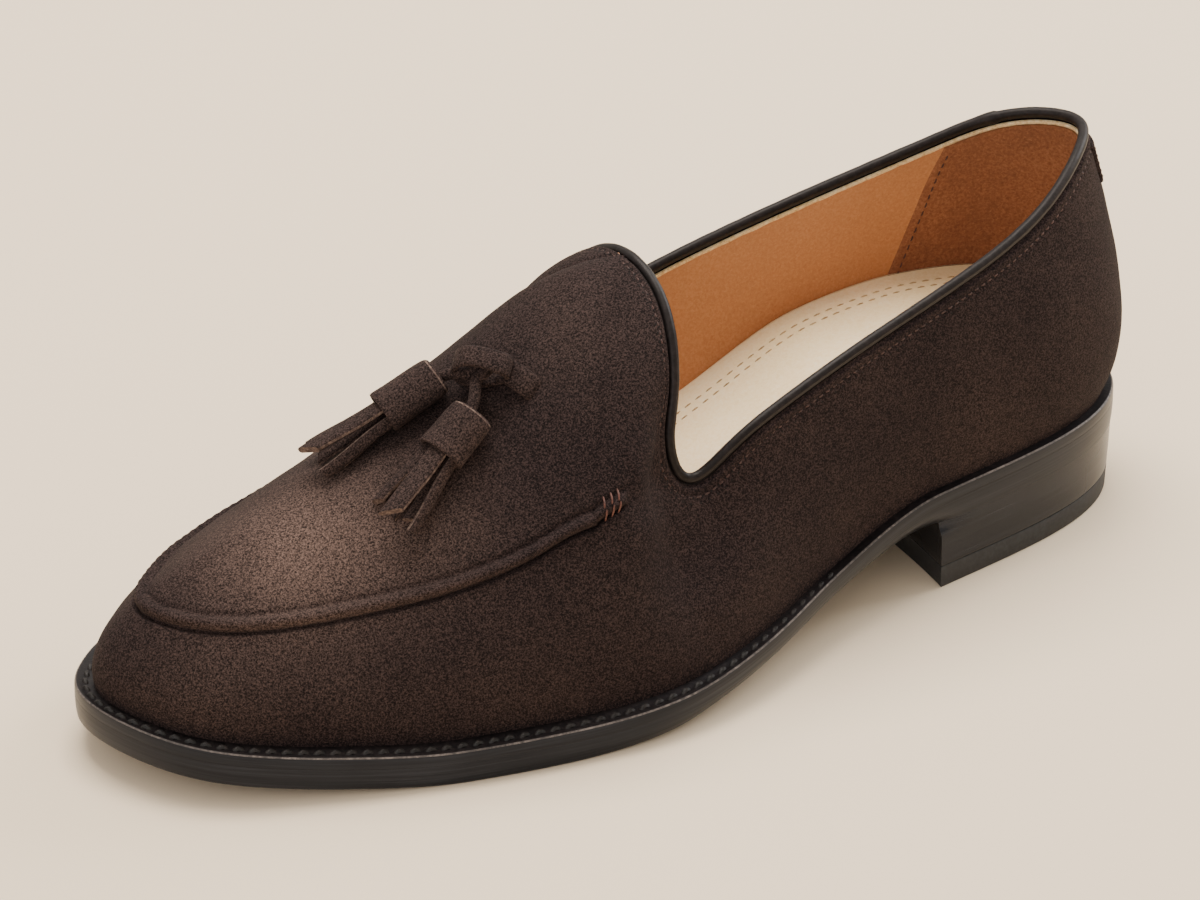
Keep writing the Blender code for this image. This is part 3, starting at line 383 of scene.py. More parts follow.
    def collar_frame(self, u: Array) -> tuple[Array, Array, Array]:
        """Tangent of the collar, the way square to it out of the leather, and the leather's normal."""
        at = self.opening_length(u)
        points = self.opening_points()
        tangent = unit(loop_by_length(points, at + 0.0004) - loop_by_length(points, at - 0.0004))
        roll, face = np.radians(rows_of("roll")), np.radians(rows_of("face"))
        crest = self.crest_normal(self.ridge_share(np.arange(TIP_ROW + 1)))
        halves = []
        for side in (1.0, -1.0):
            rows = np.c_[np.cos(roll) * np.sin(face), side * np.cos(roll) * np.cos(face), np.sin(roll)]
            rows[APEX_ROW:] = crest[APEX_ROW:]
            halves.append(rows)
        rows = both_sides(halves[0], halves[1])
        rows[0, 1] = 0.0
        normal = unit(closed_spline(rows, u))
        normal = unit(normal - tangent * (normal * tangent).sum(1)[:, None])
        return tangent, np.cross(tangent, normal), normal

    def handles(self, u: Array) -> tuple[Array, Array, Array, Array]:
        """The four control points of each section, from the feather line to the collar or ridge."""
        u = np.asarray(u, float)
        on_ridge = (fold(u) >= APEX_ROW)[:, None]
        plan, out = self.feather(u), self.outward(u)
        tangent, square, _ = self.collar_frame(u)
        share = self.ridge_share(u)
        seat = self.bottom_rise(plan[:, 0]) + self.outsole_thick + self.welt_thick + 2 * self.fit_gap
        start = np.c_[plan, seat]
        end = np.where(on_ridge, self.ridge(share), self.opening(u) - square * self.piping_round)
        skew = np.radians(closed_spline(both_sides(rows_of("skew"), -rows_of("skew")), u))[:, None]
        way = np.where(on_ridge,
                       -np.cos(skew) * self.ridge_tangent(share) - np.sin(skew) * np.array([0.0, 1.0, 0.0]),
                       np.cos(skew) * square + np.sin(skew) * tangent)
        lean = np.radians(closed_spline(both_sides(rows_of("lean"), rows_of("lean_in")), u))
        leave = np.c_[out * np.sin(lean)[:, None], np.cos(lean)]
        chord = np.linalg.norm(end - start, axis=1)
        lift = closed_spline(both_sides(rows_of("lift"), rows_of("lift_in")), u) * chord
        reach = closed_spline(both_sides(rows_of("reach")), u) * chord
        return start, start + leave * lift[:, None], end - way * reach[:, None], end

    def bead_share(self, u: Array) -> Array:
        """Share of each section at which the apron seam stands."""
        return closed_spline(both_sides(rows_of("bead")), u)

    def skin(self, u: Array, shares: Array) -> tuple[Array, Array]:
        """The upper's plain outer face.

        Args:
            u: section row of each column.
            shares: shares of the section, one row of them for each column.

        Returns:
            Points and unit normals away from the foot, column by column.
        """
        u = np.asarray(u, float)
        v = np.asarray(shares, float)[:, :, None]

        def bezier(rows: Array) -> Array:
            a, b, c, d = (part[:, None, :] for part in self.handles(rows))
            return (1 - v)**3 * a + 3 * v * (1 - v)**2 * b + 3 * v**2 * (1 - v) * c + v**3 * d

        a, b, c, d = (part[:, None, :] for part in self.handles(u))
        up = (1 - v)**2 * (b - a) + 2 * v * (1 - v) * (c - b) + v**2 * (d - c)
        normal = unit(np.cross(up, bezier(u + 0.002) - bezier(u - 0.002)))
        at_end = np.where((fold(u) >= APEX_ROW)[:, None], self.crest_normal(self.ridge_share(u)),
                          self.collar_frame(u)[2])
        normal = np.where(v > 0.999, at_end[:, None, :], normal)
        return bezier(u), normal

    def line(self, u: Array, share: Array | float, away: Array | float = 0.0) -> tuple[Array, Array]:
        """Points at one share of each section, a distance off the outer face, and their normals."""
        base, normal = self.skin(u, np.broadcast_to(share, np.shape(u))[:, None])
        return base[:, 0] + normal[:, 0] * np.reshape(away, (-1, 1)), normal[:, 0]

    def place(self, row: float, share: float, height: float = 0.0) -> tuple[Array, Array]:
        """Point at a height over the outer face, and the normal there."""
        points, normals = self.line(np.array([row]), share, height)
        return points[0], normals[0]

    def sock_height(self, x: Array) -> Array:
        """Height of the footbed's face above the floor at distances from the last's back."""
        rows = np.array(FOOTBED_ROWS)
        rise = self.insole_rise + self.footbed_rise * smooth_table(rows[:, 0] * self.length, rows[:, 1], x)
        return self.bottom_rise(x) + self.outsole_thick + self.welt_thick + 2 * self.fit_gap + rise

    def sock_loop(self, u: Array, gap: float) -> Array:
        """Edge of the footbed's face, a gap inside the lining.

        Args:
            u: section rows of the points.
            gap: distance from the lining.

        Returns:
            Points on the face's edge.
        """
        low, high = np.zeros(len(u)), np.full(len(u), 0.7)
        for _ in range(24):
            mid = 0.5 * (low + high)
            place, _ = self.line(u, mid, -(self.wall + gap))
            short = place[:, 2] < self.sock_height(place[:, 0])
            low, high = np.where(short, mid, low), np.where(short, high, mid)
        return place

    def origin(self) -> float:
        """Distance from the last's back to the middle of the heel's rest face."""
        back = self.outline(np.array([0.0]), self.ledge(np.array([0.0])))[0, 0]
        return float(0.5 * (back + self.heel_taper + self.heel_length))


LAST = Last()
SHIFT = np.array([LAST.origin(), 0.0, 0.0])


def columns(counts: Sequence[int]) -> Array:
    """Section rows of the columns right round the shoe, mirrored about the toe tip.

    Args:
        counts: columns between one row and the next, heel back to toe tip.

    Returns:
        Row numbers from the heel back round the lateral side and back along the medial side.
    """
    half = np.concatenate([row + np.arange(count) / count for row, count in enumerate(counts)])
    return np.concatenate([half, [TIP_ROW], ROWS - half[1:][::-1]])


def linear(code: str) -> tuple[float, float, float, float]:
    """Turn an sRGB hex colour such as "#4A3A33" to linear red, green, blue and alpha."""
    parts = [int(code[i:i + 2], 16) / 255.0 for i in (1, 3, 5)]
    rgb = [part / 12.92 if part <= 0.04045 else ((part + 0.055) / 1.055)**2.4 for part in parts]
    return rgb[0], rgb[1], rgb[2], 1.0


def feed(tree: Tree, node: bpy.types.Node, inputs: dict[str | int, object]) -> None:
    """Set a node's inputs, by name or number, each to a value or to a socket to link from."""
    for name, value in inputs.items():
        if isinstance(value, Socket):
            tree.links.new(value, node.inputs[name])
        else:
            node.inputs[name].default_value = value


def add_node(tree: Tree, kind: str, inputs: dict[str | int, object] | None = None,
             **settings: object) -> bpy.types.Node:
    """Add a node with its settings and links.

    Args:
        tree: node tree that gets the node.
        kind: Blender's name of the node type, without "ShaderNode".
        inputs: input sockets by name or number, each with a value or a socket to link from.
        settings: attributes of the node.

    Returns:
        The new node.
    """
    made = tree.nodes.new(f"ShaderNode{kind}")
    for name, value in settings.items():
        setattr(made, name, value)
    feed(tree, made, inputs or {})
    return made


def add_noise(tree: Tree, source: Socket, scale: float, detail: float, roughness: float,
              distortion: float = 0.0) -> Socket:
    """Add a noise pattern and give its height."""
    return add_node(tree, "TexNoise", {"Vector": source, "Scale": scale, "Detail": detail,
                                       "Roughness": roughness, "Distortion": distortion}).outputs["Fac"]


def add_sum(tree: Tree, scaled: Socket, factor: float, other: Socket) -> Socket:
    """Add a node that sums a scaled pattern and another one."""
    return add_node(tree, "Math", {0: scaled, 1: factor, 2: other}, operation="MULTIPLY_ADD").outputs["Value"]


def add_range(tree: Tree, value: Socket, low: float, high: float, to_low: float, to_high: float) -> Socket:
    """Add a node that maps values from one range to another."""
    return add_node(tree, "MapRange", {"Value": value, "From Min": low, "From Max": high,
                                       "To Min": to_low, "To Max": to_high}).outputs["Result"]


def add_bump(tree: Tree, height: Socket, relief: float) -> Socket:
    """Add a bump of a real height and give its normal."""
    return add_node(tree, "Bump", {"Height": height, "Strength": 1.0, "Distance": relief}).outputs["Normal"]


def add_shades(tree: Tree, height: Socket, middle: float, reach: float, codes: Sequence[str]) -> Socket:
    """Add a colour ramp.

    Args:
        tree: node tree that gets the node.
        height: pattern that picks the colour.
        middle: height of the main colour.
        reach: how far below and above it the dark and the light stand.
        codes: dark, main and light sRGB hex colours.

    Returns:
        The colour.
    """
    shades = add_node(tree, "ValToRGB", {"Fac": height})
    elements = shades.color_ramp.elements
    elements.new(0.5)
    for element, place, code in zip(elements, (middle - reach, middle, middle + reach), codes):
        element.position = place
        element.color = linear(code)
    return shades.outputs["Color"]


@dataclass(frozen=True)
class Finish:
    """A finish: common name, colours from dark to light, gloss and the pattern's real sizes.

    Attributes:
        name: material name, what it is made of and how its surface was made.
        dark: colour in the pits, sRGB hex.
        body: main colour.
        light: colour on the tips.
        roughness: spread of the highlight.
        ior: refraction index of the surface film.
        grain: size of the fine pattern in metres.
        patch: size of the soft patches in metres.
        relief: height of the fine pattern in metres.
        stretch: how much longer than wide the pattern is along each of the three axes.
        contrast: how far the pattern reaches from the main colour to dark and light.
        sheen: strength of the light rim that fibres give.
        sheen_tint: its colour.
        coat: strength of a second, sharper highlight.
        gloss_tint: colour of the light that the film throws back.
        use_uv: whether the pattern runs along the piece instead of through space.
        unevenness: how far the roughness rises and falls over the soft patches.
    """

    name: str
    dark: str
    body: str
    light: str
    roughness: float
    ior: float = 1.45
    grain: float = 0.0008
    patch: float = 0.012
    relief: float = 0.00010
    stretch: Triple = (1.0, 1.0, 1.0)
    contrast: float = 1.0
    sheen: float = 0.0
    sheen_tint: str = "#FFFFFF"
    coat: float = 0.0
    gloss_tint: str = "#FFFFFF"
    use_uv: bool = False
    unevenness: float = 0.05

    def material(self) -> bpy.types.Material:
        """Material of the finish, made once."""
        made = bpy.data.materials.get(self.name)
        if made is None:
            made = bpy.data.materials.new(self.name)
            made.use_nodes = True
            self.lay(made.node_tree)
            made.diffuse_color = linear(self.body)
        return made

    def lay(self, tree: Tree) -> None:
        """Fill the node tree: fine grain and soft patches in colour, roughness and bump."""
        source = add_node(tree, "TexCoord").outputs["UV" if self.use_uv else "Object"]
        scale = tuple(1.0 / part for part in self.stretch)
        spread = add_node(tree, "Mapping", {"Vector": source, "Scale": scale}).outputs["Vector"]
        fine = add_noise(tree, spread, 0.5 / self.grain, 3.0, 0.62, 0.6)
        soft = add_noise(tree, source, 0.5 / self.patch, 2.0, 0.5)
        mixed = add_sum(tree, soft, 0.45, fine)
        middle, reach = 0.72, 0.20 / self.contrast  # the mixed pattern's mean and about its spread
        feed(tree, tree.nodes["Principled BSDF"], {
            "Base Color": add_shades(tree, mixed, middle, reach, (self.dark, self.body, self.light)),
            "Roughness": add_range(tree, soft, 0.3, 0.7, self.roughness - self.unevenness,
                                   min(self.roughness + self.unevenness, 1.0)),
            "Normal": add_bump(tree, fine, self.relief), "IOR": self.ior, "Sheen Weight": self.sheen,
            "Sheen Roughness": 0.45, "Sheen Tint": linear(self.sheen_tint),
            "Specular Tint": linear(self.gloss_tint), "Coat Weight": self.coat, "Coat Roughness": 0.18})


@dataclass(frozen=True)
class Suede(Finish):
    """Brushed calf suede: short fibres stand and lie in tufts, so it speckles, and it lightens where brushed
    and where a highlight is painted.

    Attributes:
        tuft: size of a tuft of nap in metres, drawn somewhat coarser than real so that it shows.
        brushed_and_highlight: colour where the nap is brushed up and where a highlight is painted on the lit
            tops, laid by the mesh's `nap_and_highlight` attribute.
    """

    tuft: float = 0.0009
    brushed_and_highlight: str = "#7E675D"

    def lay(self, tree: Tree) -> None:
        """Fill the node tree: tufts, fibres, and lighter places from brushed nap and painted highlight, over
        the dyed leather.
        """
        source = add_node(tree, "TexCoord").outputs["Object"]
        tufts = add_noise(tree, source, 1.0 / self.tuft, 2.0, 0.60, 0.7)
        fibres = add_noise(tree, source, 0.5 / self.grain, 4.0, 0.75)
        soft = add_noise(tree, source, 0.5 / self.patch, 3.0, 0.55)
        both = add_sum(tree, fibres, 0.55, tufts)
        middle, reach = 0.77, 0.17 / self.contrast  # the pattern's mean and about its spread
        shades = add_shades(tree, both, middle, reach, (self.dark, self.body, self.light))
        # painted highlight: this attribute lightens the toe plug and instep, partly as brushed nap and partly
        # where the light falls
        nap_and_highlight = add_node(tree, "Attribute", attribute_name="nap_and_highlight").outputs["Fac"]
        patches = add_range(tree, soft, 0.35, 0.70, 0.0, 0.09)
        lifted = add_node(tree, "Math", {0: nap_and_highlight, 1: patches}, operation="ADD", use_clamp=True)
        # only the tips of the tufts lighten, so both the brushed nap and the painted highlight speckle
        raised = add_range(tree, both, 0.64, 0.94, 0.10, 1.0)
        tips = add_node(tree, "Math", {0: lifted.outputs["Value"], 1: raised}, operation="MULTIPLY",
                        use_clamp=True).outputs["Value"]
        colour = add_node(tree, "Mix", {0: tips, 6: shades, 7: linear(self.brushed_and_highlight)}, data_type="RGBA")
        feed(tree, tree.nodes["Principled BSDF"], {
            "Base Color": colour.outputs[2], "Normal": add_bump(tree, both, self.relief),
            "Roughness": self.roughness, "IOR": self.ior, "Specular IOR Level": 0.15,
            "Sheen Weight": self.sheen, "Sheen Roughness": 0.55, "Sheen Tint": linear(self.sheen_tint)})


# Chrome-tanned calf split, dyed dark brown and brushed: no gloss, a speckled nap and a soft light rim
BROWN_SUEDE = Suede("brushed_calf_suede", "#0C0808", "#1F1717", "#3B2E2C", 0.92, grain=0.00018,
                    patch=0.014, relief=0.00022, contrast=1.3, sheen=0.03, sheen_tint="#A08A84",
                    tuft=0.00045)
# The same leather cut through: the paler fibres of its edge show, lightened further as a painted highlight
# where the edges catch the light
CUT_EDGE_AND_HIGHLIGHT = Finish("cut_suede_edge_and_highlight", "#2C211E", "#513F38", "#786559", 0.95, grain=0.0004, relief=0.00015)
# Thin calf dyed almost black and rolled round a cord: smooth with fine crossways wrinkles, a soft gloss
PIPING_CALF = Finish("rolled_piping_calf", "#0D0A0A", "#171313", "#221C1C", 0.50, grain=0.0007,
                     relief=0.00006, coat=0.03, gloss_tint="#B0A8A4")
# Vegetable-tanned calf lining, polished grain side: warm tan with a faint cloudy tone
LINING_CALF = Finish("vegetable_tanned_lining", "#A96C3F", "#B97C4D", "#C68C5E", 0.45, grain=0.0004,
                     patch=0.018, relief=0.00002, contrast=0.6)
# The same calf with its flesh side out, which grips the heel: darker, dull and mottled
HEEL_GRIP = Finish("reversed_calf_heel_grip", "#6C3F27", "#845234", "#9A6644", 0.85, grain=0.0004,
                   patch=0.010, relief=0.00008, contrast=0.8, sheen=0.05, sheen_tint="#E0B080")
# Undyed trimmed edge of the lining under the piping: pale and fibrous
RAW_EDGE = Finish("raw_lining_edge", "#C79F69", "#E6CB9B", "#F4E2BF", 0.80, grain=0.0005, relief=0.00010)
# Natural sheep or calf sock, smooth grain side up: cream with fine pores
SOCK_LEATHER = Finish("natural_sock_leather", "#F3D8A2", "#FBE3B4", "#FDEBC6", 0.52, grain=0.0005,
                      patch=0.020, relief=0.00003, contrast=0.8)
# Leather welt, stained black and waxed: satin with a fine grain
WELT_WAX = Finish("waxed_welt_leather", "#0A0808", "#151111", "#231D1C", 0.50, grain=0.0006, relief=0.00008,
                  gloss_tint="#B8B4BC")
# The welt's upper corner: a thin pale line round the shoe, a painted highlight where the corner catches the
# light
WELT_CORNER_HIGHLIGHT = Finish("welt_corner_painted_highlight", "#2B2624", "#4E4642", "#6E645E", 0.45, grain=0.0007, relief=0.00004)
# Sole edge, trimmed, inked and hot waxed: black with faint lines along it from the trimming iron
EDGE_WAX = Finish("hot_waxed_sole_edge", "#0C0C0F", "#17181B", "#242529", 0.36, grain=0.0009,
                  patch=0.015, relief=0.00005, stretch=(30.0, 0.45, 1.0), coat=0.04,
                  gloss_tint="#A6AEC4", use_uv=True)
# Heel lifts, inked and burnished with wax: the glossiest face of the shoe
HEEL_WAX = Finish("burnished_stacked_heel", "#0C0C0F", "#151619", "#202126", 0.26, grain=0.0010,
                  patch=0.020, relief=0.00002, stretch=(30.0, 0.5, 1.0), coat=0.08,
                  gloss_tint="#B0B8CC", use_uv=True)
# Moulded rubber top piece: dull black with a fine pebble
HEEL_RUBBER = Finish("moulded_heel_rubber", "#101113", "#1A1B1E", "#25272A", 0.62, ior=1.52,
                     grain=0.0006, relief=0.00004)
# Oak-bark tanned sole leather, stained dark: the tread
SOLE_LEATHER = Finish("stained_sole_leather", "#17120F", "#261E19", "#382D26", 0.55, grain=0.0008,
                      relief=0.00006)
# Waxed linen thread in the upper's own brown, a little redder than the suede
BROWN_THREAD = Finish("waxed_brown_thread", "#2A1A16", "#422A24", "#573A32", 0.60, grain=0.0003,
                      relief=0.00008)
# The hand-sewn end of the apron seam, in a rusty brown thread
RUST_THREAD = Finish("waxed_rust_thread", "#3A1F18", "#553026", "#6C4236", 0.60, grain=0.0003,
                     relief=0.00008)
# Polyester thread of the sock's two rows, sunk in its own holes: its brown is darker than the cream thread
# and is painted shade of the holes it sinks into
SOCK_THREAD_SHADE = Finish("sock_thread_painted_shade", "#8A6E4A", "#AD8F63", "#C8AC80", 0.75, grain=0.0003)
# Pitched black welt thread
BLACK_THREAD = Finish("pitched_welt_thread", "#0A0807", "#17120F", "#261E1B", 0.62, grain=0.0004,
                      relief=0.00008)
# Painted shade: flat near-black discs for the shadow inside an awl hole or a slot's mouth
AWL_HOLE_SHADE = Finish("awl_hole_shadow", "#060404", "#0A0706", "#120D0B", 1.0, grain=0.001, relief=0.00001)


class Slot(Enum):
    """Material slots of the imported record."""

    SUEDE = "brown_suede"
    PIPING = "piping_leather"
    EDGE = "black_edge"
    HEEL = "heel_leather"
    RUBBER = "heel_rubber"
    INSOLE = "insole_leather"


def add_object(name: str, data: bpy.types.ID) -> bpy.types.Object:
    """Make an object of some data and link it to the scene."""
    item = bpy.data.objects.new(name, data)
    bpy.context.scene.collection.objects.link(item)
    return item


@dataclass
class Draft:
    """Points and faces of a piece while it is put together.

    Attributes:
        points: arrays of points in shoe coordinates.
        faces: corner numbers of each face.
        marks: finish number of each face.
        places: flat places of the points for patterns that run along a piece, or zeros.
        total: number of points so far.
    """

    points: list[Array] = field(default_factory=list)
    faces: list[Face] = field(default_factory=list)
    marks: list[int] = field(default_factory=list)
    places: list[Array] = field(default_factory=list)
    total: int = 0

    def add_points(self, points: Array, places: Array | None = None) -> int:
        """Add points and return the number of the first."""
        points = np.asarray(points, float).reshape(-1, 3)
        start = self.total
        self.points.append(points)
        self.places.append(np.zeros((len(points), 2)) if places is None else np.reshape(places, (-1, 2)))
        self.total += len(points)
        return start

    def add_faces(self, faces: Sequence[Face], mark: int = 0) -> None:
        """Add faces that share one finish number."""
        self.faces.extend(faces)
        self.marks.extend([mark] * len(faces))

    def grid(self, points: Array, closed: bool = False, mark: int = 0, flip: bool = False,
             places: Array | None = None) -> int:
        """Add a grid of points with its quads.

        Args:
            points: columns of rows of points.
            closed: whether the last column joins the first.
            mark: finish number of the faces.
            flip: whether the faces turn the other way.
            places: flat places of the points.

        Returns:
            Number of the grid's first point.
        """
        count, rows = points.shape[:2]
        start = self.add_points(points, places)
        i, k = np.meshgrid(np.arange(count if closed else count - 1), np.arange(rows - 1), indexing="ij")
        j = (i + 1) % count
        quads = np.stack([start + i * rows + k, start + j * rows + k, start + j * rows + k + 1,
                          start + i * rows + k + 1], -1).reshape(-1, 4)
        if flip:
            quads = quads[:, ::-1]
        self.add_faces([tuple(quad) for quad in quads.tolist()], mark)
        return start

    def build(self, name: str, finishes: Sequence[Finish], slot: Slot, nodes: Sequence[str] = (),
              sharp: float = 50.0, nap_and_highlight: Callable[[Array], Array] | None = None) -> bpy.types.Object:
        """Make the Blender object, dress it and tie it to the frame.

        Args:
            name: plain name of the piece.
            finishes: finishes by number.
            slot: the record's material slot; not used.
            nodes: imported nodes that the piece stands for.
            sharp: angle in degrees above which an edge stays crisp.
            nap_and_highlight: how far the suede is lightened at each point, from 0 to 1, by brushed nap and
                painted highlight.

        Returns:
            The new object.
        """
        points = np.concatenate(self.points)
        mesh = bpy.data.meshes.new(name)
        mesh.from_pydata((points - SHIFT).tolist(), [], self.faces)
        for finish in finishes:
            mesh.materials.append(finish.material())
        mesh.polygons.foreach_set("material_index", self.marks)
        places = np.concatenate(self.places)
        if np.any(places):
            layer = mesh.uv_layers.new(name="along_edge")
            corners = np.zeros(len(mesh.loops), int)
            mesh.loops.foreach_get("vertex_index", corners)
            layer.data.foreach_set("uv", places[corners].ravel())
        if nap_and_highlight is not None:
            layer = mesh.attributes.new("nap_and_highlight", "FLOAT", "POINT")
            layer.data.foreach_set("value", np.clip(nap_and_highlight(points), 0.0, 1.0).astype(np.float32))
        mesh.polygons.foreach_set("use_smooth", [True] * len(mesh.polygons))
        mesh.set_sharp_from_angle(angle=math.radians(sharp))
        mesh.validate()
        mesh.update()
        item = add_object(name, mesh)
        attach(item, "root")
        if nodes:
            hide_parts(*nodes)
        LOG.info("%s: %d faces", name, len(mesh.polygons))
        return item


def spaced(path: Array, pitch: float, closed: bool = False) -> Array:
    """Even steps along a path.

    Args:
        path: points close together.
        pitch: wanted distance between steps.
        closed: whether the path joins up.

    Returns:
        Places of the steps as fractional point numbers.
    """
    loop = np.concatenate([path, path[:1]]) if closed else path
    run = run_along(loop)
    count = max(int(round(run[-1] / pitch)), 2)
    at = (np.arange(count) + (0.0 if closed else 0.5)) * run[-1] / count
    return np.interp(at, run, np.arange(len(loop)))


def pick(values: Array, at: Array) -> Array:
    """Values read between their rows at fractional row numbers, wrapped round."""
    low = np.floor(at).astype(int)
    t = (at - low)[:, None]
    return values[low % len(values)] * (1 - t) + values[(low + 1) % len(values)] * t


@dataclass(frozen=True)
class StitchRow:
    """A row of stitches: thread bars that sink at both ends.

    Attributes:
        pitch: distance from one stitch to the next.
        length: length of one bar.
        width: thickness of the thread.
        slant: turn of each bar out of the row in degrees.
        sink: how far the ends lie under the surface.
        sides: sides of a bar.
        rings: place along the bar and share of its thickness of each ring of points.
    """

    pitch: float
    length: float
    width: float
    slant: float = 0.0
    sink: float = 0.0002
    sides: int = 6
    rings: Pairs = ((-0.5, 0.45), (-0.36, 0.92), (0.0, 1.0), (0.36, 0.92), (0.5, 0.45))

    def sew(self, draft: Draft, path: Array, normals: Array, closed: bool = False, mark: int = 0) -> None:
        """Add the row to a draft along a path with normals."""
        at = spaced(path, self.pitch, closed)
        centre = pick(path, at)
        along = unit(pick(path, at + 0.5) - pick(path, np.maximum(at - 0.5, 0.0 if not closed else -9.0)))
        up = unit(pick(normals, at))
        side = unit(np.cross(along, up))
        turn = math.radians(self.slant)
        along, side = (along * math.cos(turn) + side * math.sin(turn),
                       side * math.cos(turn) - along * math.sin(turn))
        sides, last = self.sides, len(self.rings) - 1
        for place, bar, across, rise in zip(centre, along, side, up):
            points = [place + bar * (t * self.length) - rise * self.sink * (4.0 * t * t)
                      + 0.5 * self.width * size * ring_ways(full_turn(sides), across, rise)
                      for t, size in self.rings]
            start = draft.add_points(np.array(points))
            draft.add_faces([(start + r * sides + k, start + r * sides + (k + 1) % sides,
                              start + (r + 1) * sides + (k + 1) % sides, start + (r + 1) * sides + k)
                             for r in range(last) for k in range(sides)], mark)
            draft.add_faces([tuple(range(start, start + sides)),
                             tuple(range(start + last * sides, start + (last + 1) * sides))[::-1]], mark)


@dataclass(frozen=True)
class Crease:
    """A soft trough in the leather with a low ridge round it.

    Attributes:
        path: (row, share) places from end to end.
        width: half width of the trough.
        depth: depth of the trough at its middle.
        ridge: height of the ridge.
    """

    path: Pairs
    width: float
    depth: float
    ridge: float = 0.0

    def lower(self, points: Array) -> Array:
        """Height that the fold gives each point, which is below zero in its trough."""
        rows = np.array(self.path)
        at = np.linspace(0.0, len(rows) - 1.0, 40)
        way = natural_spline(np.arange(len(rows)), rows, at)
        line = np.array([LAST.place(row, share)[0] for row, share in way])
        flat = points.reshape(-1, 3)
        gap = np.linalg.norm(flat[:, None, :] - line[None, :, :], axis=2)
        near = gap.argmin(1)
        fade = np.sin(np.pi * (near + 0.5) / len(line))**0.7
        away = gap.min(1) / self.width
        profile = self.ridge * hump(away - 1.9, 1.0) - self.depth * hump(away, 1.0)
        return (profile * fade).reshape(points.shape[:2])


# Places where the upper is painted lighter, partly brushed nap and partly a painted highlight on the lit
# tops: x, y and z in shoe coordinates, reach in metres and strength
NAP_AND_HIGHLIGHT_SPOTS = ((0.243, 0.006, 0.052, 0.021, 0.85), (0.215, 0.014, 0.058, 0.018, 0.30),
             (0.272, 0.020, 0.030, 0.016, 0.12), (0.165, 0.006, 0.093, 0.020, 0.10))


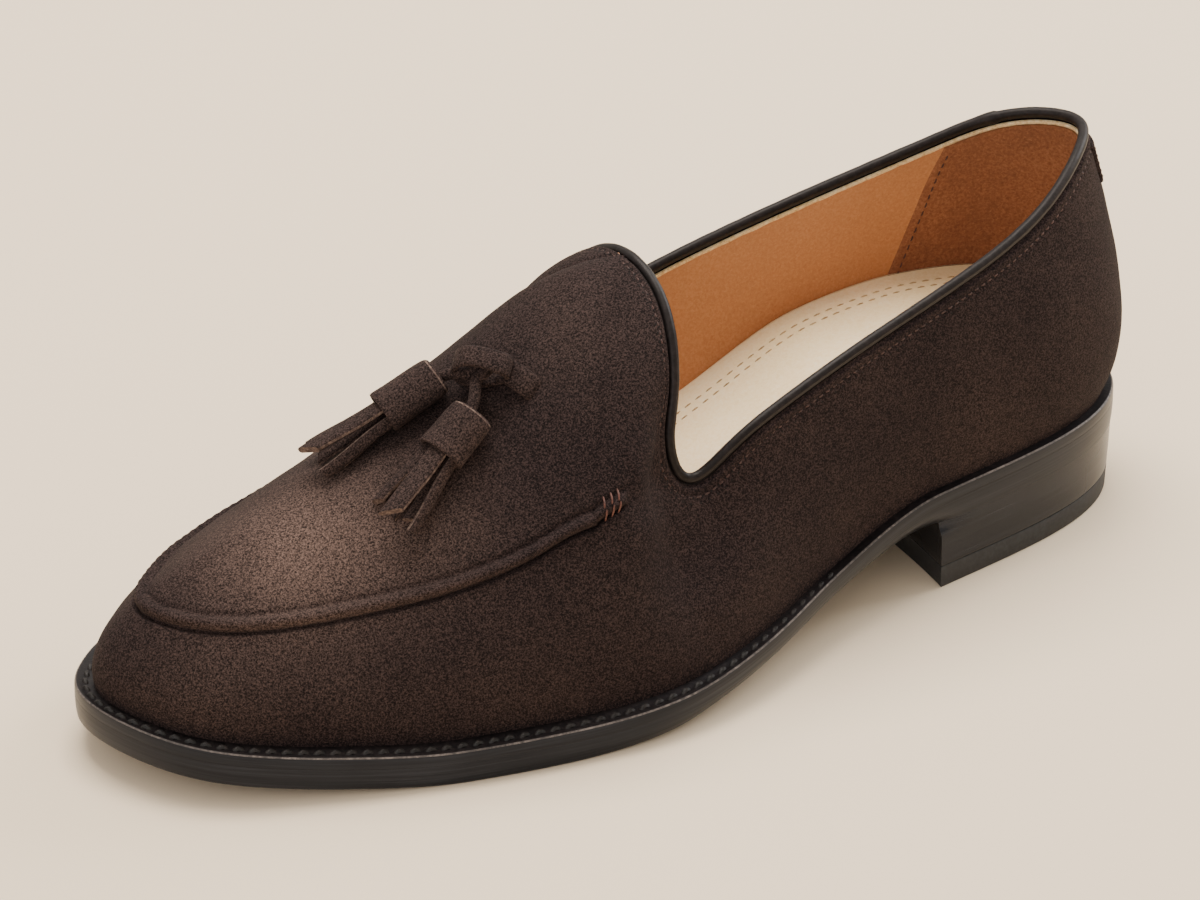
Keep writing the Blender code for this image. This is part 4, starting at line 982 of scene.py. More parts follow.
@dataclass(frozen=True)
class SuedeUpper:
    """Outer face of the upper with its apron seam, collar edge, folds, and nap with a painted highlight.

    Attributes:
        counts: columns of points between one section row and the next.
        bead_height: height of the apron seam's roll.
        bead_width: width of the roll.
        groove: depth of the groove outside the roll; inside it is a shallow one.
        groove_width: half width of the outer groove.
        pucker_pitch: distance from one pucker to the next.
        pucker: height of the puckers.
        seam_span: distance either side of the seam over which the points stand close together.
        apron_swell: how far the apron stands up beside the seam.
        row_below_collar: distance of the stitch trough under the piping.
        stitch_trough: depth of that trough.
        turned_edge: how far the edge turns in under the piping.
        back_seam: depth of the seam up the heel.
        uneven: height of the leather's unevenness.
        creases: folds beside the opening.
    """

    counts: tuple[int, ...] = (18, 10, 12, 14, 14, 14, 26, 36, 34, 34, 36, 34, 26)
    bead_height: float = 0.0017
    bead_width: float = 0.0034
    groove: float = 0.0019
    groove_width: float = 0.00048
    pucker_pitch: float = 0.0029
    pucker: float = 0.00009
    seam_span: float = 0.0046
    apron_swell: float = 0.0004
    row_below_collar: float = 0.0030
    stitch_trough: float = 0.00026
    turned_edge: float = 0.0009
    back_seam: float = 0.00045
    uneven: float = 0.00022
    creases: tuple[Crease, ...] = (
        Crease(((6.15, 0.93), (6.55, 0.74), (7.15, 0.55), (7.60, 0.47)), 0.0040, 0.0007, 0.0004),
        Crease(((5.75, 0.80), (5.95, 0.62), (6.30, 0.45), (6.80, 0.30)), 0.0075, 0.0008, 0.0003),
        Crease(((19.5, 0.78), (19.3, 0.70), (18.9, 0.55), (18.4, 0.47)), 0.0045, 0.0004, 0.0002),
    )

    @staticmethod
    def seam_share(u: Array) -> Array:
        """Share of each section at which the seam stands; its ends rise towards the notch."""
        return LAST.bead_share(u) + 0.19 * np.clip(8.02 - fold(u), 0.0, 0.6)

    def shares(self, u: Array) -> Array:
        """Shares of each section, close together at the apron seam and under the collar."""
        bead = self.seam_share(u)
        corners = np.stack(LAST.handles(u))
        length = np.linalg.norm(np.diff(corners, axis=0), axis=2).sum(0)
        reach = self.seam_span / (0.88 * length)  # a section is about 0.88 as long as its handles
        lower = np.linspace(0.0, 1.0, 34, endpoint=False)**0.9
        middle = np.linspace(-1.0, 1.0, 29)
        upper = 1.0 - (1.0 - np.linspace(0.0, 1.0, 53)[1:])**1.25
        return np.concatenate([np.outer(bead - reach, lower), bead[:, None] + np.outer(reach, middle),
                               (bead + reach)[:, None] + np.outer(1.0 - bead - reach, upper)], axis=1)

    def relief(self, u: Array, shares: Array, points: Array) -> Array:
        """Height of the leather over the plain face: seam, grooves, collar edge, folds, unevenness."""
        run = np.concatenate([np.zeros((len(u), 1)),
                              np.cumsum(np.linalg.norm(np.diff(points, axis=1), axis=2), axis=1)], axis=1)
        bead_run = np.array([np.interp(share, row, length)
                             for share, row, length in zip(self.seam_share(u), shares, run)])
        off = run - bead_run[:, None]
        row = fold(u)
        fade = ramp(row, 7.52, 7.74)[:, None]
        middle = points[np.arange(len(u)), np.abs(off).argmin(1)]
        half = 0.5 * self.bead_width
        wave = self.pucker * np.cos(2.0 * math.pi * run_along(middle)[:, None] / self.pucker_pitch)
        # the seam: a roll that leans outward between a hard outer groove and a shallow inner one
        lean = np.where(off < 0.0, 0.82, 1.10) * half
        roll = (self.bead_height + wave) * np.exp(-np.abs(off / lean)**2.6)
        outer = -(self.groove - wave) * hump(off + half + 0.00025, self.groove_width)
        inner = -0.30 * self.groove * hump(off - half - 0.00065, 0.00080)
        swell = self.apron_swell * ramp(off, 0.0010, 0.0045) * np.exp(-np.maximum(off, 0.0) / 0.015)
        total = fade * (roll + outer + inner + swell)
        # its ends are tucked in
        total -= 0.0004 * hump(row - 7.55, 0.12)[:, None] * hump(off, 0.0030)
        # under the piping: a trough that the stitches pull in, and the turned edge
        under = (row <= APEX_ROW)[:, None] * (run[:, -1:] - run)
        collar = (row <= APEX_ROW + 0.02)[:, None]
        trough = -self.stitch_trough * hump(under - self.row_below_collar, 0.00065)
        turned = -self.turned_edge * (1.0 - ramp(under, 0.0, 0.0012))
        total += collar * (trough + turned)
        total -= self.back_seam * hump(points[:, :, 1], 0.0007) * (points[:, :, 0] < 0.03)
        for crease in self.creases:
            total += crease.lower(points)
        flat = points.reshape(-1, 3)
        uneven = np.array([noise.noise(Vector(point) * 55.0) + 0.5 * noise.noise(Vector(point) * 130.0)
                           for point in flat.tolist()]).reshape(total.shape)
        return total + self.uneven * uneven * ramp(run, 0.0, 0.006)

    @staticmethod
    def nap_and_highlight(points: Array) -> Array:
        """How far the suede is lightened by brushed nap and a painted highlight on the lit tops: most on the
        toe plug, hardly on the instep, not near the sole.
        """
        return sum(strength * hump(np.linalg.norm(points - (x, y, z), axis=1), size)
                   for x, y, z, size, strength in NAP_AND_HIGHLIGHT_SPOTS)

    def build(self) -> None:
        """Build the outer face down to the welt and up to the piping, joined along the vamp's middle."""
        u = columns(self.counts)
        shares = self.shares(u)
        points, normals = LAST.skin(u, shares)
        points = points + normals * self.relief(u, shares, points)[:, :, None]
        points[:, 0, 2] -= 0.0005  # the lowest row sinks a little into the welt
        draft = Draft()
        draft.grid(points, closed=True)
        count, rows = points.shape[:2]
        joined = {i * rows + rows - 1: (count - i) * rows + rows - 1
                  for i in range(count // 2 + 1, count) if fold(u[i]) >= APEX_ROW}
        draft.faces = [tuple(dict.fromkeys(joined.get(n, n) for n in face)) for face in draft.faces]
        kept = [(face, mark) for face, mark in zip(draft.faces, draft.marks) if len(face) > 2]
        draft.faces, draft.marks = [list(part) for part in zip(*kept)]
        # the toe plug and instep are painted lighter: brushed nap and a painted highlight
        draft.build("suede_upper", [BROWN_SUEDE], Slot.SUEDE, ("upper",), sharp=80.0, nap_and_highlight=self.nap_and_highlight)


@dataclass(frozen=True)
class SeamEnds:
    """Hand stitches that tie off the apron seam on both sides: section row of the first, number and step."""

    row: float = 7.72
    bars: int = 3
    step: float = 0.085
    stitch: StitchRow = StitchRow(0.0034, 0.0034, 0.00050, sink=0.0007)
    slant: float = 8.0

    def build(self) -> None:
        """Lay short rusty bars across the seam's ends."""
        draft = Draft()
        for side in (1.0, -1.0):
            for bar in range(self.bars):
                row = self.row + self.step * bar
                at = row if side > 0 else ROWS - row
                share = float(SuedeUpper.seam_share(np.array([at]))[0])
                low, normal = LAST.place(at, share - 0.020, 0.0006)
                middle, _ = LAST.place(at + 0.02 * side, share, 0.0022)
                high, _ = LAST.place(at + 0.05 * side, share + 0.020, 0.0008)
                path = natural_spline([0, 1, 2], np.array([low, middle, high]), np.linspace(0, 2, 9))
                replace(self.stitch, slant=self.slant * side).sew(draft, path, np.tile(normal, (9, 1)))
        draft.build("seam_end_stitches", [RUST_THREAD], Slot.SUEDE)


@dataclass(frozen=True)
class Lining:
    """Tan lining, its trimmed edge under the piping and the reversed heel grip with its seam.

    Attributes:
        counts: columns of points between one section row and the next.
        grip_rows: share of the section and row of the grip's front edge there.
        grip_thick: thickness of the grip.
        seam_rows: how many rows behind the grip's edge its seam runs.
        stitch: the seam's stitches.
        edge_width: visible width of the trimmed edge.
        edge_row: section row at which the trimmed edge ends on either side.
    """

    counts: tuple[int, ...] = (6, 6, 8, 8, 8, 8, 12, 12, 10, 10, 10, 10, 8)
    grip_rows: Pairs = ((0.0, 2.72), (0.42, 2.38), (0.67, 2.20), (0.84, 2.08), (1.0, 1.90))
    grip_thick: float = 0.0006
    seam_rows: float = 0.09
    stitch: StitchRow = StitchRow(0.0026, 0.0018, 0.00045)
    edge_width: float = 0.0011
    edge_row: float = 5.40

    def build(self) -> None:
        """Build the three pieces."""
        u = columns(self.counts)
        points, normals = LAST.skin(u, np.tile(np.linspace(0.0, 1.0, 50), (len(u), 1)))
        draft = Draft()
        draft.grid(points - normals * LAST.wall, closed=True, flip=True)
        draft.build("calf_lining", [LINING_CALF], Slot.INSOLE, sharp=80.0)
        self.build_edge()
        self.build_grip()

    def build_edge(self) -> None:
        """Pale trimmed edge of the lining, close under the piping."""
        u = over_heel(self.edge_row, 170)
        end, normal = LAST.line(u, 1.0)
        way = unit(LAST.handles(u)[2] - end)
        ragged = np.array([noise.noise(Vector((row * 9.0, 1.0, 0.0))) for row in u])
        width = self.edge_width * (1.0 + 0.25 * ragged)
        # share of the width and height over the lining of each line of points
        profile = ((0.0, -0.0002), (0.0, 0.00035), (0.85, 0.00040), (1.0, 0.00022), (1.03, -0.0001))
        points = np.stack([end + way * (share * width)[:, None] - normal * (LAST.wall + away)
                           for share, away in profile], axis=1)
        draft = Draft()
        draft.grid(points)
        draft.build("lining_trimmed_edge", [RAW_EDGE], Slot.INSOLE, sharp=60.0)

    def grip_row(self, share: Array) -> Array:
        """Row of the grip's front edge at shares of the section."""
        rows = np.array(self.grip_rows)
        return smooth_table(rows[:, 0], rows[:, 1], share)

    def build_grip(self) -> None:
        """Heel grip over the back of the lining and the stitches along its slanted edge."""
        shares = np.linspace(0.0, 0.985, 44)
        across = np.sin(np.linspace(-0.5 * math.pi, 0.5 * math.pi, 61))
        front = self.grip_row(shares)
        points = np.zeros((len(across), len(shares), 3))
        edge = np.abs(across)**60
        inward = self.grip_thick * (1.0 - edge) - 0.0001 * edge
        for k, (share, row) in enumerate(zip(shares, front)):
            points[:, k], _ = LAST.line(across * row, share, -(LAST.wall + inward))
        draft = Draft()
        draft.grid(points, flip=True)
        draft.build("reversed_heel_grip", [HEEL_GRIP], Slot.INSOLE, sharp=80.0)
        seam = Draft()
        share = np.linspace(0.06, 0.94, 60)
        rows = self.grip_row(share) - self.seam_rows
        for u in (rows, ROWS - rows):
            path, normal = LAST.line(u, share, -(LAST.wall + self.grip_thick))
            self.stitch.sew(seam, path, -normal)
        seam.build("heel_grip_stitches", [BROWN_THREAD], Slot.INSOLE)


@dataclass(frozen=True)
class Collar:
    """Rolled piping with its lapped joint, its flange in the wall and the two rows of collar stitches.

    Attributes:
        radius: radius of the roll.
        sides: sides of the roll.
        flange: depth of the hidden flange.
        joint_row: section row at which the roll's ends lap.
        lap: how far the upper end stands over the lower one.
        uneven: height of the roll's unevenness.
        steps: points along the roll.
        stitch_drop: distance of the sewn row under the roll's edge.
        second_drop: distance of the row of bare awl holes.
        stitch: stitches of the sewn row.
        hole: radius of an awl hole.
        hole_sides: sides of an awl hole.
    """

    radius: float = 0.0014
    sides: int = 20
    flange: float = 0.0050
    joint_row: float = 24.72
    lap: float = 0.00028
    uneven: float = 0.00006
    steps: int = 760
    stitch_drop: float = 0.0030
    second_drop: float = 0.0044
    stitch: StitchRow = StitchRow(0.0023, 0.0016, 0.00048, sink=0.0004)
    hole: float = 0.00025
    hole_sides: int = 7

    def line(self, count: int) -> tuple[Array, Array, Array, Array]:
        """Collar line, ways out of and square to the leather, and the rows, evenly spaced."""
        u = over_heel(APEX_ROW, 500)[:-1]
        run = run_along(LAST.opening(np.append(u, u[0])))
        at = np.interp(np.linspace(0.0, run[-1], count, endpoint=False), run, np.arange(len(u) + 1))
        rows = np.mod(np.interp(at, np.arange(len(u)), np.where(u >= ROWS - APEX_ROW, u - ROWS, u)), ROWS)
        _, square, normal = LAST.collar_frame(rows)
        return LAST.opening(rows), square, normal, rows

    def build(self) -> None:
        """Build the piping with its lapped joint and its flange, then the stitches."""
        line, square, normal, rows = self.line(self.steps)
        step = np.mod(rows - self.joint_row + TIP_ROW, ROWS) - TIP_ROW
        lap = self.lap * ramp(step, -0.30, -0.05) * (1.0 - ramp(step, 0.0, 0.02))
        uneven = self.uneven * np.array([noise.noise(Vector(point) * 240.0) for point in line.tolist()])
        centre = line - square * self.radius - normal * (0.5 * LAST.wall)
        angle = np.append(full_turn(self.sides), 0.0)
        ring = ring_ways(angle, normal[:, None], square[:, None])
        roll, flange = Draft(), Draft()
        roll.grid(centre[:, None] + ring * (self.radius + lap + uneven)[:, None, None], closed=True)
        roll.build("rolled_piping", [PIPING_CALF], Slot.PIPING, ("collar_piping",), sharp=80.0)
        flange.grid(np.stack([centre - square * drop for drop in np.linspace(0.0, self.flange, 5)], axis=1),
                    closed=True)
        flange.build("piping_flange", [PIPING_CALF], Slot.PIPING, sharp=80.0)
        self.sew()

    def sew(self) -> None:
        """Thread, and flat discs of painted shade for the awl holes, under the piping on the suede's outer
        face.
        """
        u = over_heel(APEX_ROW, 420)
        _, _, handle, end = LAST.handles(u)
        thread, holes = Draft(), Draft()
        for drop, sewn in ((self.stitch_drop, True), (self.second_drop, False)):
            share = 1.0 - drop / (3.0 * np.linalg.norm(end - handle, axis=1))
            path, rise = LAST.line(u, share, -0.00018 if sewn else 0.0)
            if sewn:
                self.stitch.sew(thread, path, rise, closed=True)
            at = spaced(path, self.stitch.pitch, closed=True)
            for place, up in zip(pick(path, at + 0.5 * len(path) / len(at)), unit(pick(rise, at))):
                side = unit(np.cross(up, (0.3, 0.2, 0.9)))  # any way across the leather
                # painted shade: a flat dark disc stands for the shadow in each awl hole
                start = holes.add_points(place + up * 0.00010 + self.hole * ring_ways(
                    full_turn(self.hole_sides), side, np.cross(up, side)))
                holes.add_faces([tuple(range(start, start + self.hole_sides))])
        thread.build("collar_stitches", [BROWN_THREAD], Slot.SUEDE)
        holes.build("collar_awl_hole_shade", [AWL_HOLE_SHADE], Slot.SUEDE)


def rung_plate(draft: Draft, loop: Array, lift: Callable[[Array], Array], steps: int, mark: int,
               up: bool) -> None:
    """Surface across a closed loop that is mirrored about its first point.

    Args:
        draft: draft that gets the surface.
        loop: plan points of the loop.
        lift: height of plan points.
        steps: points across from one side to the other.
        mark: finish number.
        up: whether the surface faces up.
    """
    count = len(loop)
    half = count // 2
    near = loop[:half + 1]
    far = loop[(count - np.arange(half + 1)) % count]
    t = np.linspace(0.0, 1.0, steps)
    plan = near[:, None] * (1 - t)[None, :, None] + far[:, None] * t[None, :, None]
    flat = plan.reshape(-1, 2)
    points = np.c_[flat, lift(flat)].reshape(plan.shape[0], steps, 3)
    draft.grid(points, mark=mark, flip=up)


@dataclass(frozen=True)
class Sock:
    """Cream sock over the insole with two sewn rows near its edge.

    Attributes:
        rows: distance of each sewn row from the lining.
        sewn_to: section row at which the sewn rows end on either side.
        stitch: their stitches.
        dish: depth of the hollow under the heel.
        dish_at: distance of the hollow's middle from the last's back.
        dish_reach: half length and half width of the hollow.
    """

    rows: Pair = (0.0066, 0.0092)
    sewn_to: float = 9.2
    stitch: StitchRow = StitchRow(0.0036, 0.0025, 0.00050, sink=0.0003)
    dish: float = 0.0018
    dish_at: float = 0.034
    dish_reach: Pair = (0.030, 0.019)

    def height(self, points: Array) -> Array:
        """Height of the sock's face at plan points: the footbed's, dished under the heel."""
        long, wide = self.dish_reach
        hollow = hump(points[:, 0] - self.dish_at, long) * hump(points[:, 1], wide)
        return LAST.sock_height(points[:, 0]) - self.dish * hollow

    def build(self) -> None:
        """Build the face and a turned-down edge, then the stitches."""
        u = columns((10,) * TIP_ROW)
        # gap to the lining and drop under the face of each line of the rounded edge
        profile = ((0.00005, 0.0012), (0.00005, 0.0006), (0.0003, 0.0002), (0.0009, 0.0))
        lines = [LAST.sock_loop(u, gap) - (0.0, 0.0, drop) for gap, drop in profile]
        draft = Draft()
        draft.grid(np.stack(lines, axis=1), closed=True)
        rung_plate(draft, lines[-1][:, :2], self.height, 30, 0, True)
        draft.build("leather_sock", [SOCK_LEATHER], Slot.INSOLE, ("insole",), sharp=60.0)
        # painted shade: the thread is darker than its real cream, to stand for the shade of the holes it
        # sinks into
        thread = Draft()
        for inward in self.rows:
            path = LAST.sock_loop(np.linspace(-self.sewn_to, self.sewn_to, 519), inward)
            path[:, 2] = self.height(path) + 0.00004
            self.stitch.sew(thread, path, np.tile(UP, (len(path), 1)))
        thread.build("sock_stitches_painted_shade", [SOCK_THREAD_SHADE], Slot.INSOLE)


@dataclass(frozen=True)
class Bottom:
    """Welt with its stitches, outsole with waxed edge, burnished heel and rubber top piece.

    Attributes:
        counts: columns of points between one section row and the next.
        flush: where the layers stop being ground flush, from the heel's breast forward.
        trough: depth of the trough that the welt's stitches lie in.
        stitch: lock stitches of the welt.
        stitched_to: section row at which they end on either side.
        stitch_share: share of the welt's width at which they run.
        corner: rounding of the sole's lower corner.
        bevel_from: share of the heel's height from which its sides take up the waist's bevel.
        bevel_to: share at which they have it in full, where the lifts end.
    """

    counts: tuple[int, ...] = (18,) * TIP_ROW
    flush: Pair = (-0.004, 0.014)
    trough: float = 0.00035
    stitch: StitchRow = StitchRow(0.0040, 0.0034, 0.0014, slant=-14.0, sink=0.0008)
    stitched_to: float = 4.3
    stitch_share: float = 0.46
    corner: float = 0.0007
    bevel_from: float = 0.66
    bevel_to: float = 0.93

    def build(self) -> None:
        """Build the pieces under the upper from the top down."""
        u = columns(self.counts)
        self.build_welt(u)
        self.build_outsole(u)
        self.build_heel()

    def loops(self, u: Array, levels: Sequence[tuple[Array | float, Array | float]]) -> tuple[Array, Array]:
        """Points and flat places of loops stacked up from the sole's underside.

        Args:
            u: section rows of the columns.
            levels: how far each loop stands outside the feather line, and its height.

        Returns:
            Points and flat places, column by column.
        """
        run = run_along(LAST.outline(u, LAST.ledge(u)))
        points, places = [], []
        for grow, height in levels:
            plan = LAST.outline(u, grow)
            points.append(np.c_[plan, LAST.bottom_rise(plan[:, 0]) + height])
            places.append(np.c_[run, np.full(len(u), height)])
        return np.stack(points, axis=1), np.stack(places, axis=1)

    def softness(self, u: Array) -> Array:
        """0 round the heel, where the layers are ground flush, and 1 from the waist to the toe."""
        return ramp(LAST.feather(u)[:, 0] - LAST.heel_length, *self.flush)

    def build_welt(self, u: Array) -> None:
        """Welt with a rounded edge that has a painted highlight on its upper corner, a shallow trough and
        slanted lock stitches along the forepart.
        """
        edge = LAST.ledge(u)
        low = LAST.outsole_thick + 0.00002
        high = LAST.outsole_thick + LAST.fit_gap + LAST.welt_thick
        trough = self.trough * ramp(edge, 0.0035, 0.0048)
        levels = [(-LAST.wall, low), (edge - 0.00004, low), (edge, low + 0.0003), (edge, low + 0.0010),
                  (edge, high - 0.0009), (edge - 0.0001, high - 0.0004), (edge - 0.00045, high - 0.00005),
                  (edge - 0.0009, high), (0.70 * edge, high - trough), (0.45 * edge, high - 1.2 * trough),
                  (0.20 * edge, high - 0.6 * trough), (0.0, high), (-LAST.wall, high)]
        points, places = self.loops(u, levels + levels[:1])
        draft = Draft()
        draft.grid(points[:, :6], closed=True, mark=1, places=places[:, :6])
        # painted highlight: the thin pale band round the welt's upper corner
        draft.grid(points[:, 5:7], closed=True, mark=2, places=places[:, 5:7])
        draft.grid(points[:, 6:], closed=True, places=places[:, 6:])
        draft.build("stitched_welt", [WELT_WAX, EDGE_WAX, WELT_CORNER_HIGHLIGHT], Slot.EDGE, ("welt",), sharp=70.0)
        thread = Draft()
        at = np.linspace(self.stitched_to, ROWS - self.stitched_to, 900)
        plan = LAST.outline(at, self.stitch_share * LAST.ledge(at))
        path = np.c_[plan, LAST.bottom_rise(plan[:, 0]) + high - 0.0001]
        self.stitch.sew(thread, path, np.tile(UP, (len(at), 1)))
        thread.build("welt_stitches", [BLACK_THREAD], Slot.EDGE)

    def build_outsole(self, u: Array) -> None:
        """Outsole: waxed edge, square at forepart and heel, bevelled in the waist; stained tread."""
        edge = LAST.ledge(u)
        bevel = LAST.sole_bevel * LAST.waist(u)
        thick = LAST.outsole_thick
        levels = []
        for share in (0.0, 0.02, 0.05, 0.10, 0.17, 0.26, 0.36, 0.48, 0.60, 0.72, 0.84, 0.93, 0.98, 1.0):
            cut = float(smooth_table((0.0, 0.42, 0.80, 1.0), (1.0, 0.28, 0.04, 0.02), np.array([share]))[0])
            height = share * thick
            corner = max(0.0, 1.0 - height / self.corner)
            inward = self.softness(u) * self.corner * (1.0 - math.sqrt(1.0 - corner**2))
            levels.append((edge - bevel * cut - inward, height))
        points, places = self.loops(u, levels)
        draft = Draft()
        draft.grid(points, closed=True, places=places)
        for row, up, steps in ((0, 0.0, 30), (-1, thick, 20)):
            rung_plate(draft, points[:, row, :2], lambda plan, up=up: LAST.bottom_rise(plan[:, 0]) + up,
                       steps, 1, up > 0.0)
        draft.build("waxed_outsole", [EDGE_WAX, SOLE_LEATHER], Slot.EDGE, ("outsole",), sharp=50.0)

    def heel_row(self, side: float) -> float:
        """Section row where the heel's breast meets the sole's edge on one side."""
        low, high = 2.0, 5.0
        for _ in range(40):
            mid = 0.5 * (low + high)
            at = np.array([mid if side > 0 else ROWS - mid])
            if LAST.outline(at, LAST.ledge(at))[0, 0] < LAST.heel_length:
                low = mid
            else:
                high = mid
        return low

    def heel_loop(self, height: float) -> Array:
        """Plan of the heel at a height: round the back, then across the hollow breast."""
        outer, inner = self.heel_row(1.0), self.heel_row(-1.0)
        u = np.concatenate([np.linspace(outer, 0.0, 70), ROWS - np.linspace(0.0, inner, 70)[1:]])
        drop = 1.0 - height / LAST.heel_height
        cut = LAST.waist(u) * ramp(height / LAST.heel_height, self.bevel_from, self.bevel_to)
        grow = LAST.ledge(u) - LAST.sole_bevel * np.maximum(cut, 0.06) - LAST.heel_taper * drop * np.sin(
            np.linspace(0.0, math.pi, len(u)))
        plan = LAST.outline(u, grow)
        across = np.linspace(plan[-1, 1], plan[0, 1], 31)[1:-1]
        middle = 0.5 * (plan[-1, 1] + plan[0, 1])
        reach = 0.5 * abs(plan[0, 1] - plan[-1, 1])
        front = LAST.heel_length - LAST.heel_hollow * (1.0 - ((across - middle) / reach)**2)
        return np.concatenate([plan, np.c_[front, across]])

    def heel_block(self, name: str, heights: Sequence[Pair], top: float | None,
                   finish: Finish, slot: Slot, nodes: Sequence[str]) -> None:
        """Block of the heel.

        Args:
            name: name of the piece.
            heights: (height, inset) of each loop from the bottom up.
            top: share of the block's height range from which loops follow the sole, or None.
            finish: its finish.
            slot: the record's slot.
            nodes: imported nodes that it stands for.
        """
        loops, places = [], []
        floor, ceiling = heights[0][0], heights[-1][0]
        for height, inset in heights:
            plan = self.heel_loop(height)
            plan = plan - unit(plan - (0.5 * LAST.heel_length, 0.0)) * inset
            level = np.full(len(plan), height)
            if top is not None:
                seat = LAST.bottom_rise(plan[:, 0]) - 0.00002
                level += (seat - ceiling) * ramp((height - floor) / (ceiling - floor), top, 1.0)
            loops.append(np.c_[plan, level])
            places.append(np.c_[run_along(plan), level])
        draft = Draft()
        points = np.stack(loops, axis=1)
        draft.grid(points, closed=True, places=np.stack(places, axis=1), flip=True)
        rows = len(heights)
        for row, turned in ((0, False), (rows - 1, True)):
            ring = [i * rows + row for i in range(len(points))]
            draft.add_faces([tuple(ring if turned else ring[::-1])])
        draft.build(name, [finish], slot, nodes, sharp=35.0)
        LOG.info("%s stands %.1f mm high", name, 1000.0 * (ceiling - floor))

    def build_heel(self) -> None:
        """Rubber top piece, then the burnished lifts up to the sole."""
        rubber = LAST.top_piece_thick
        heights = ((0.0, 0.0004), (0.0002, 0.0001), (0.0006, 0.0), (rubber - 0.0003, 0.0), (rubber, 0.0002))
        self.heel_block("rubber_top_piece", heights, None, HEEL_RUBBER, Slot.RUBBER, ("heel_top_piece",))
        low = rubber + 0.00012
        straight = low + 0.0006
        rest = self.bevel_to * LAST.heel_height - straight
        heights = [(low, 0.00025), (low + 0.00025, 0.00005), (straight, 0.0)]
        heights += [(straight + rest * t, 0.0) for t in (0.15, 0.3, 0.45, 0.6, 0.7, 0.8, 0.9, 1.0)]
        self.heel_block("burnished_lifts", heights, 0.5, HEEL_WAX, Slot.HEEL,
                        ("heel_lift_1", "heel_lift_2", "heel_lift_3"))


@dataclass(frozen=True)
class HeelTab:
    """Small suede patch over the top of the back seam, sewn round its edge.

    Attributes:
        half_rows: half width in section rows.
        start: share of the section at its lower edge.
        stop: share at its upper edge.
        thick: thickness.
        stitch: its stitches.
        corners: shares of half width and height at which they turn.
    """

    half_rows: float = 0.50
    start: float = 0.80
    stop: float = 0.965
    thick: float = 0.0007
    stitch: StitchRow = StitchRow(0.0024, 0.0017, 0.00045, sink=0.0003)
    corners: Pairs = ((-0.84, 0.97), (-0.84, 0.12), (0.84, 0.12), (0.84, 0.97))

    def surface(self, across: Array, up: Array, away: Array | float) -> tuple[Array, Array]:
        """Points over the patch at shares of its width and height."""
        share = self.start + (self.stop - self.start) * up
        return LAST.line(across * self.half_rows * (0.90 + 0.10 * up), share, away)

    def build(self) -> None:
        """Build the patch with softened edges and its stitches."""
        a = np.linspace(-1.0, 1.0, 41)
        b = np.linspace(0.0, 1.0, 31)
        across, up = (part.ravel() for part in np.meshgrid(a, b, indexing="ij"))
        rim = np.minimum(1.0 - np.abs(across), np.minimum(up, 1.0 - up) * 1.6)
        away = 0.0001 + self.thick * np.sqrt(np.clip(rim / 0.07, 0.0, 1.0))
        away = np.where(rim <= 1e-6, -0.0001, away)
        points, _ = self.surface(across, up, away)
        draft = Draft()
        draft.grid(points.reshape(len(a), len(b), 3))
        # the same brushed nap and painted highlight as the upper, which are nil this far back
        draft.build("suede_heel_tab", [BROWN_SUEDE], Slot.SUEDE, ("heel_tab",), sharp=80.0,
                    nap_and_highlight=SuedeUpper.nap_and_highlight)
        way = np.concatenate([np.linspace(start, stop, 24)[:-1]
                              for start, stop in zip(self.corners, self.corners[1:])] + [self.corners[-1:]])
        path, normal = self.surface(way[:, 0], way[:, 1], 0.0001 + self.thick)
        thread = Draft()
        self.stitch.sew(thread, path, normal)
        thread.build("heel_tab_stitches", [BROWN_THREAD], Slot.SUEDE)


def ribbon(draft: Draft, centres: Array, sides: Array, normals: Array, halves: Sequence[float], thick: float,
           closed: bool = False, shear: Sequence[float] | None = None, face_mark: int = 0,
           edge_mark: int = 1) -> None:
    """Strap of thick leather with softened corners and cut edges.

    Args:
        draft: draft that gets the strap.
        centres: centre line.
        sides: unit ways across.
        normals: unit ways out of the faces.
        halves: half width at each centre.
        thick: thickness.
        closed: whether the strap joins up.
        shear: for each centre, how far one edge runs ahead of the other as a share of the half width.
        face_mark: finish number of the faces.
        edge_mark: finish number of the cut edges, whose pale finish is partly a painted highlight.
    """
    half_thick = 0.5 * thick
    soft = min(0.30 * thick, 0.0005)
    ways = unit(np.gradient(centres, axis=0))
    loops = []
    for i, (centre, side, normal, half) in enumerate(zip(centres, sides, normals, halves)):
        inner = max(half - soft, 0.0)
        flat, crown, edge = half_thick, 1.10 * half_thick, half_thick - soft
        section = [(-inner, -flat), (-0.4 * inner, -flat), (0.4 * inner, -flat), (inner, -flat),
                   (half, -edge), (half, edge), (inner, flat), (0.4 * inner, crown), (-0.4 * inner, crown),
                   (-inner, flat), (-half, edge), (-half, -edge)]
        lean = 0.0 if shear is None else shear[i]
        loops.append([centre + side * a + normal * b + ways[i] * (lean * a) for a, b in section])
    points = np.array(loops)
    count, rows = points.shape[:2]
    start = draft.add_points(points)
    for i in range(count if closed else count - 1):
        j = (i + 1) % count
        for k in range(rows):
            m = (k + 1) % rows
            # the cut edges take the pale finish: paler fibres plus a painted highlight
            mark = edge_mark if k in (4, 10) else face_mark
            draft.add_faces([(start + i * rows + k, start + i * rows + m, start + j * rows + m,
                              start + j * rows + k)], mark)
    if not closed:
        for i, turned in ((0, True), (count - 1, False)):
            ring = [start + i * rows + k for k in range(rows)]
            draft.add_faces([tuple(ring[::-1] if turned else ring)], edge_mark)


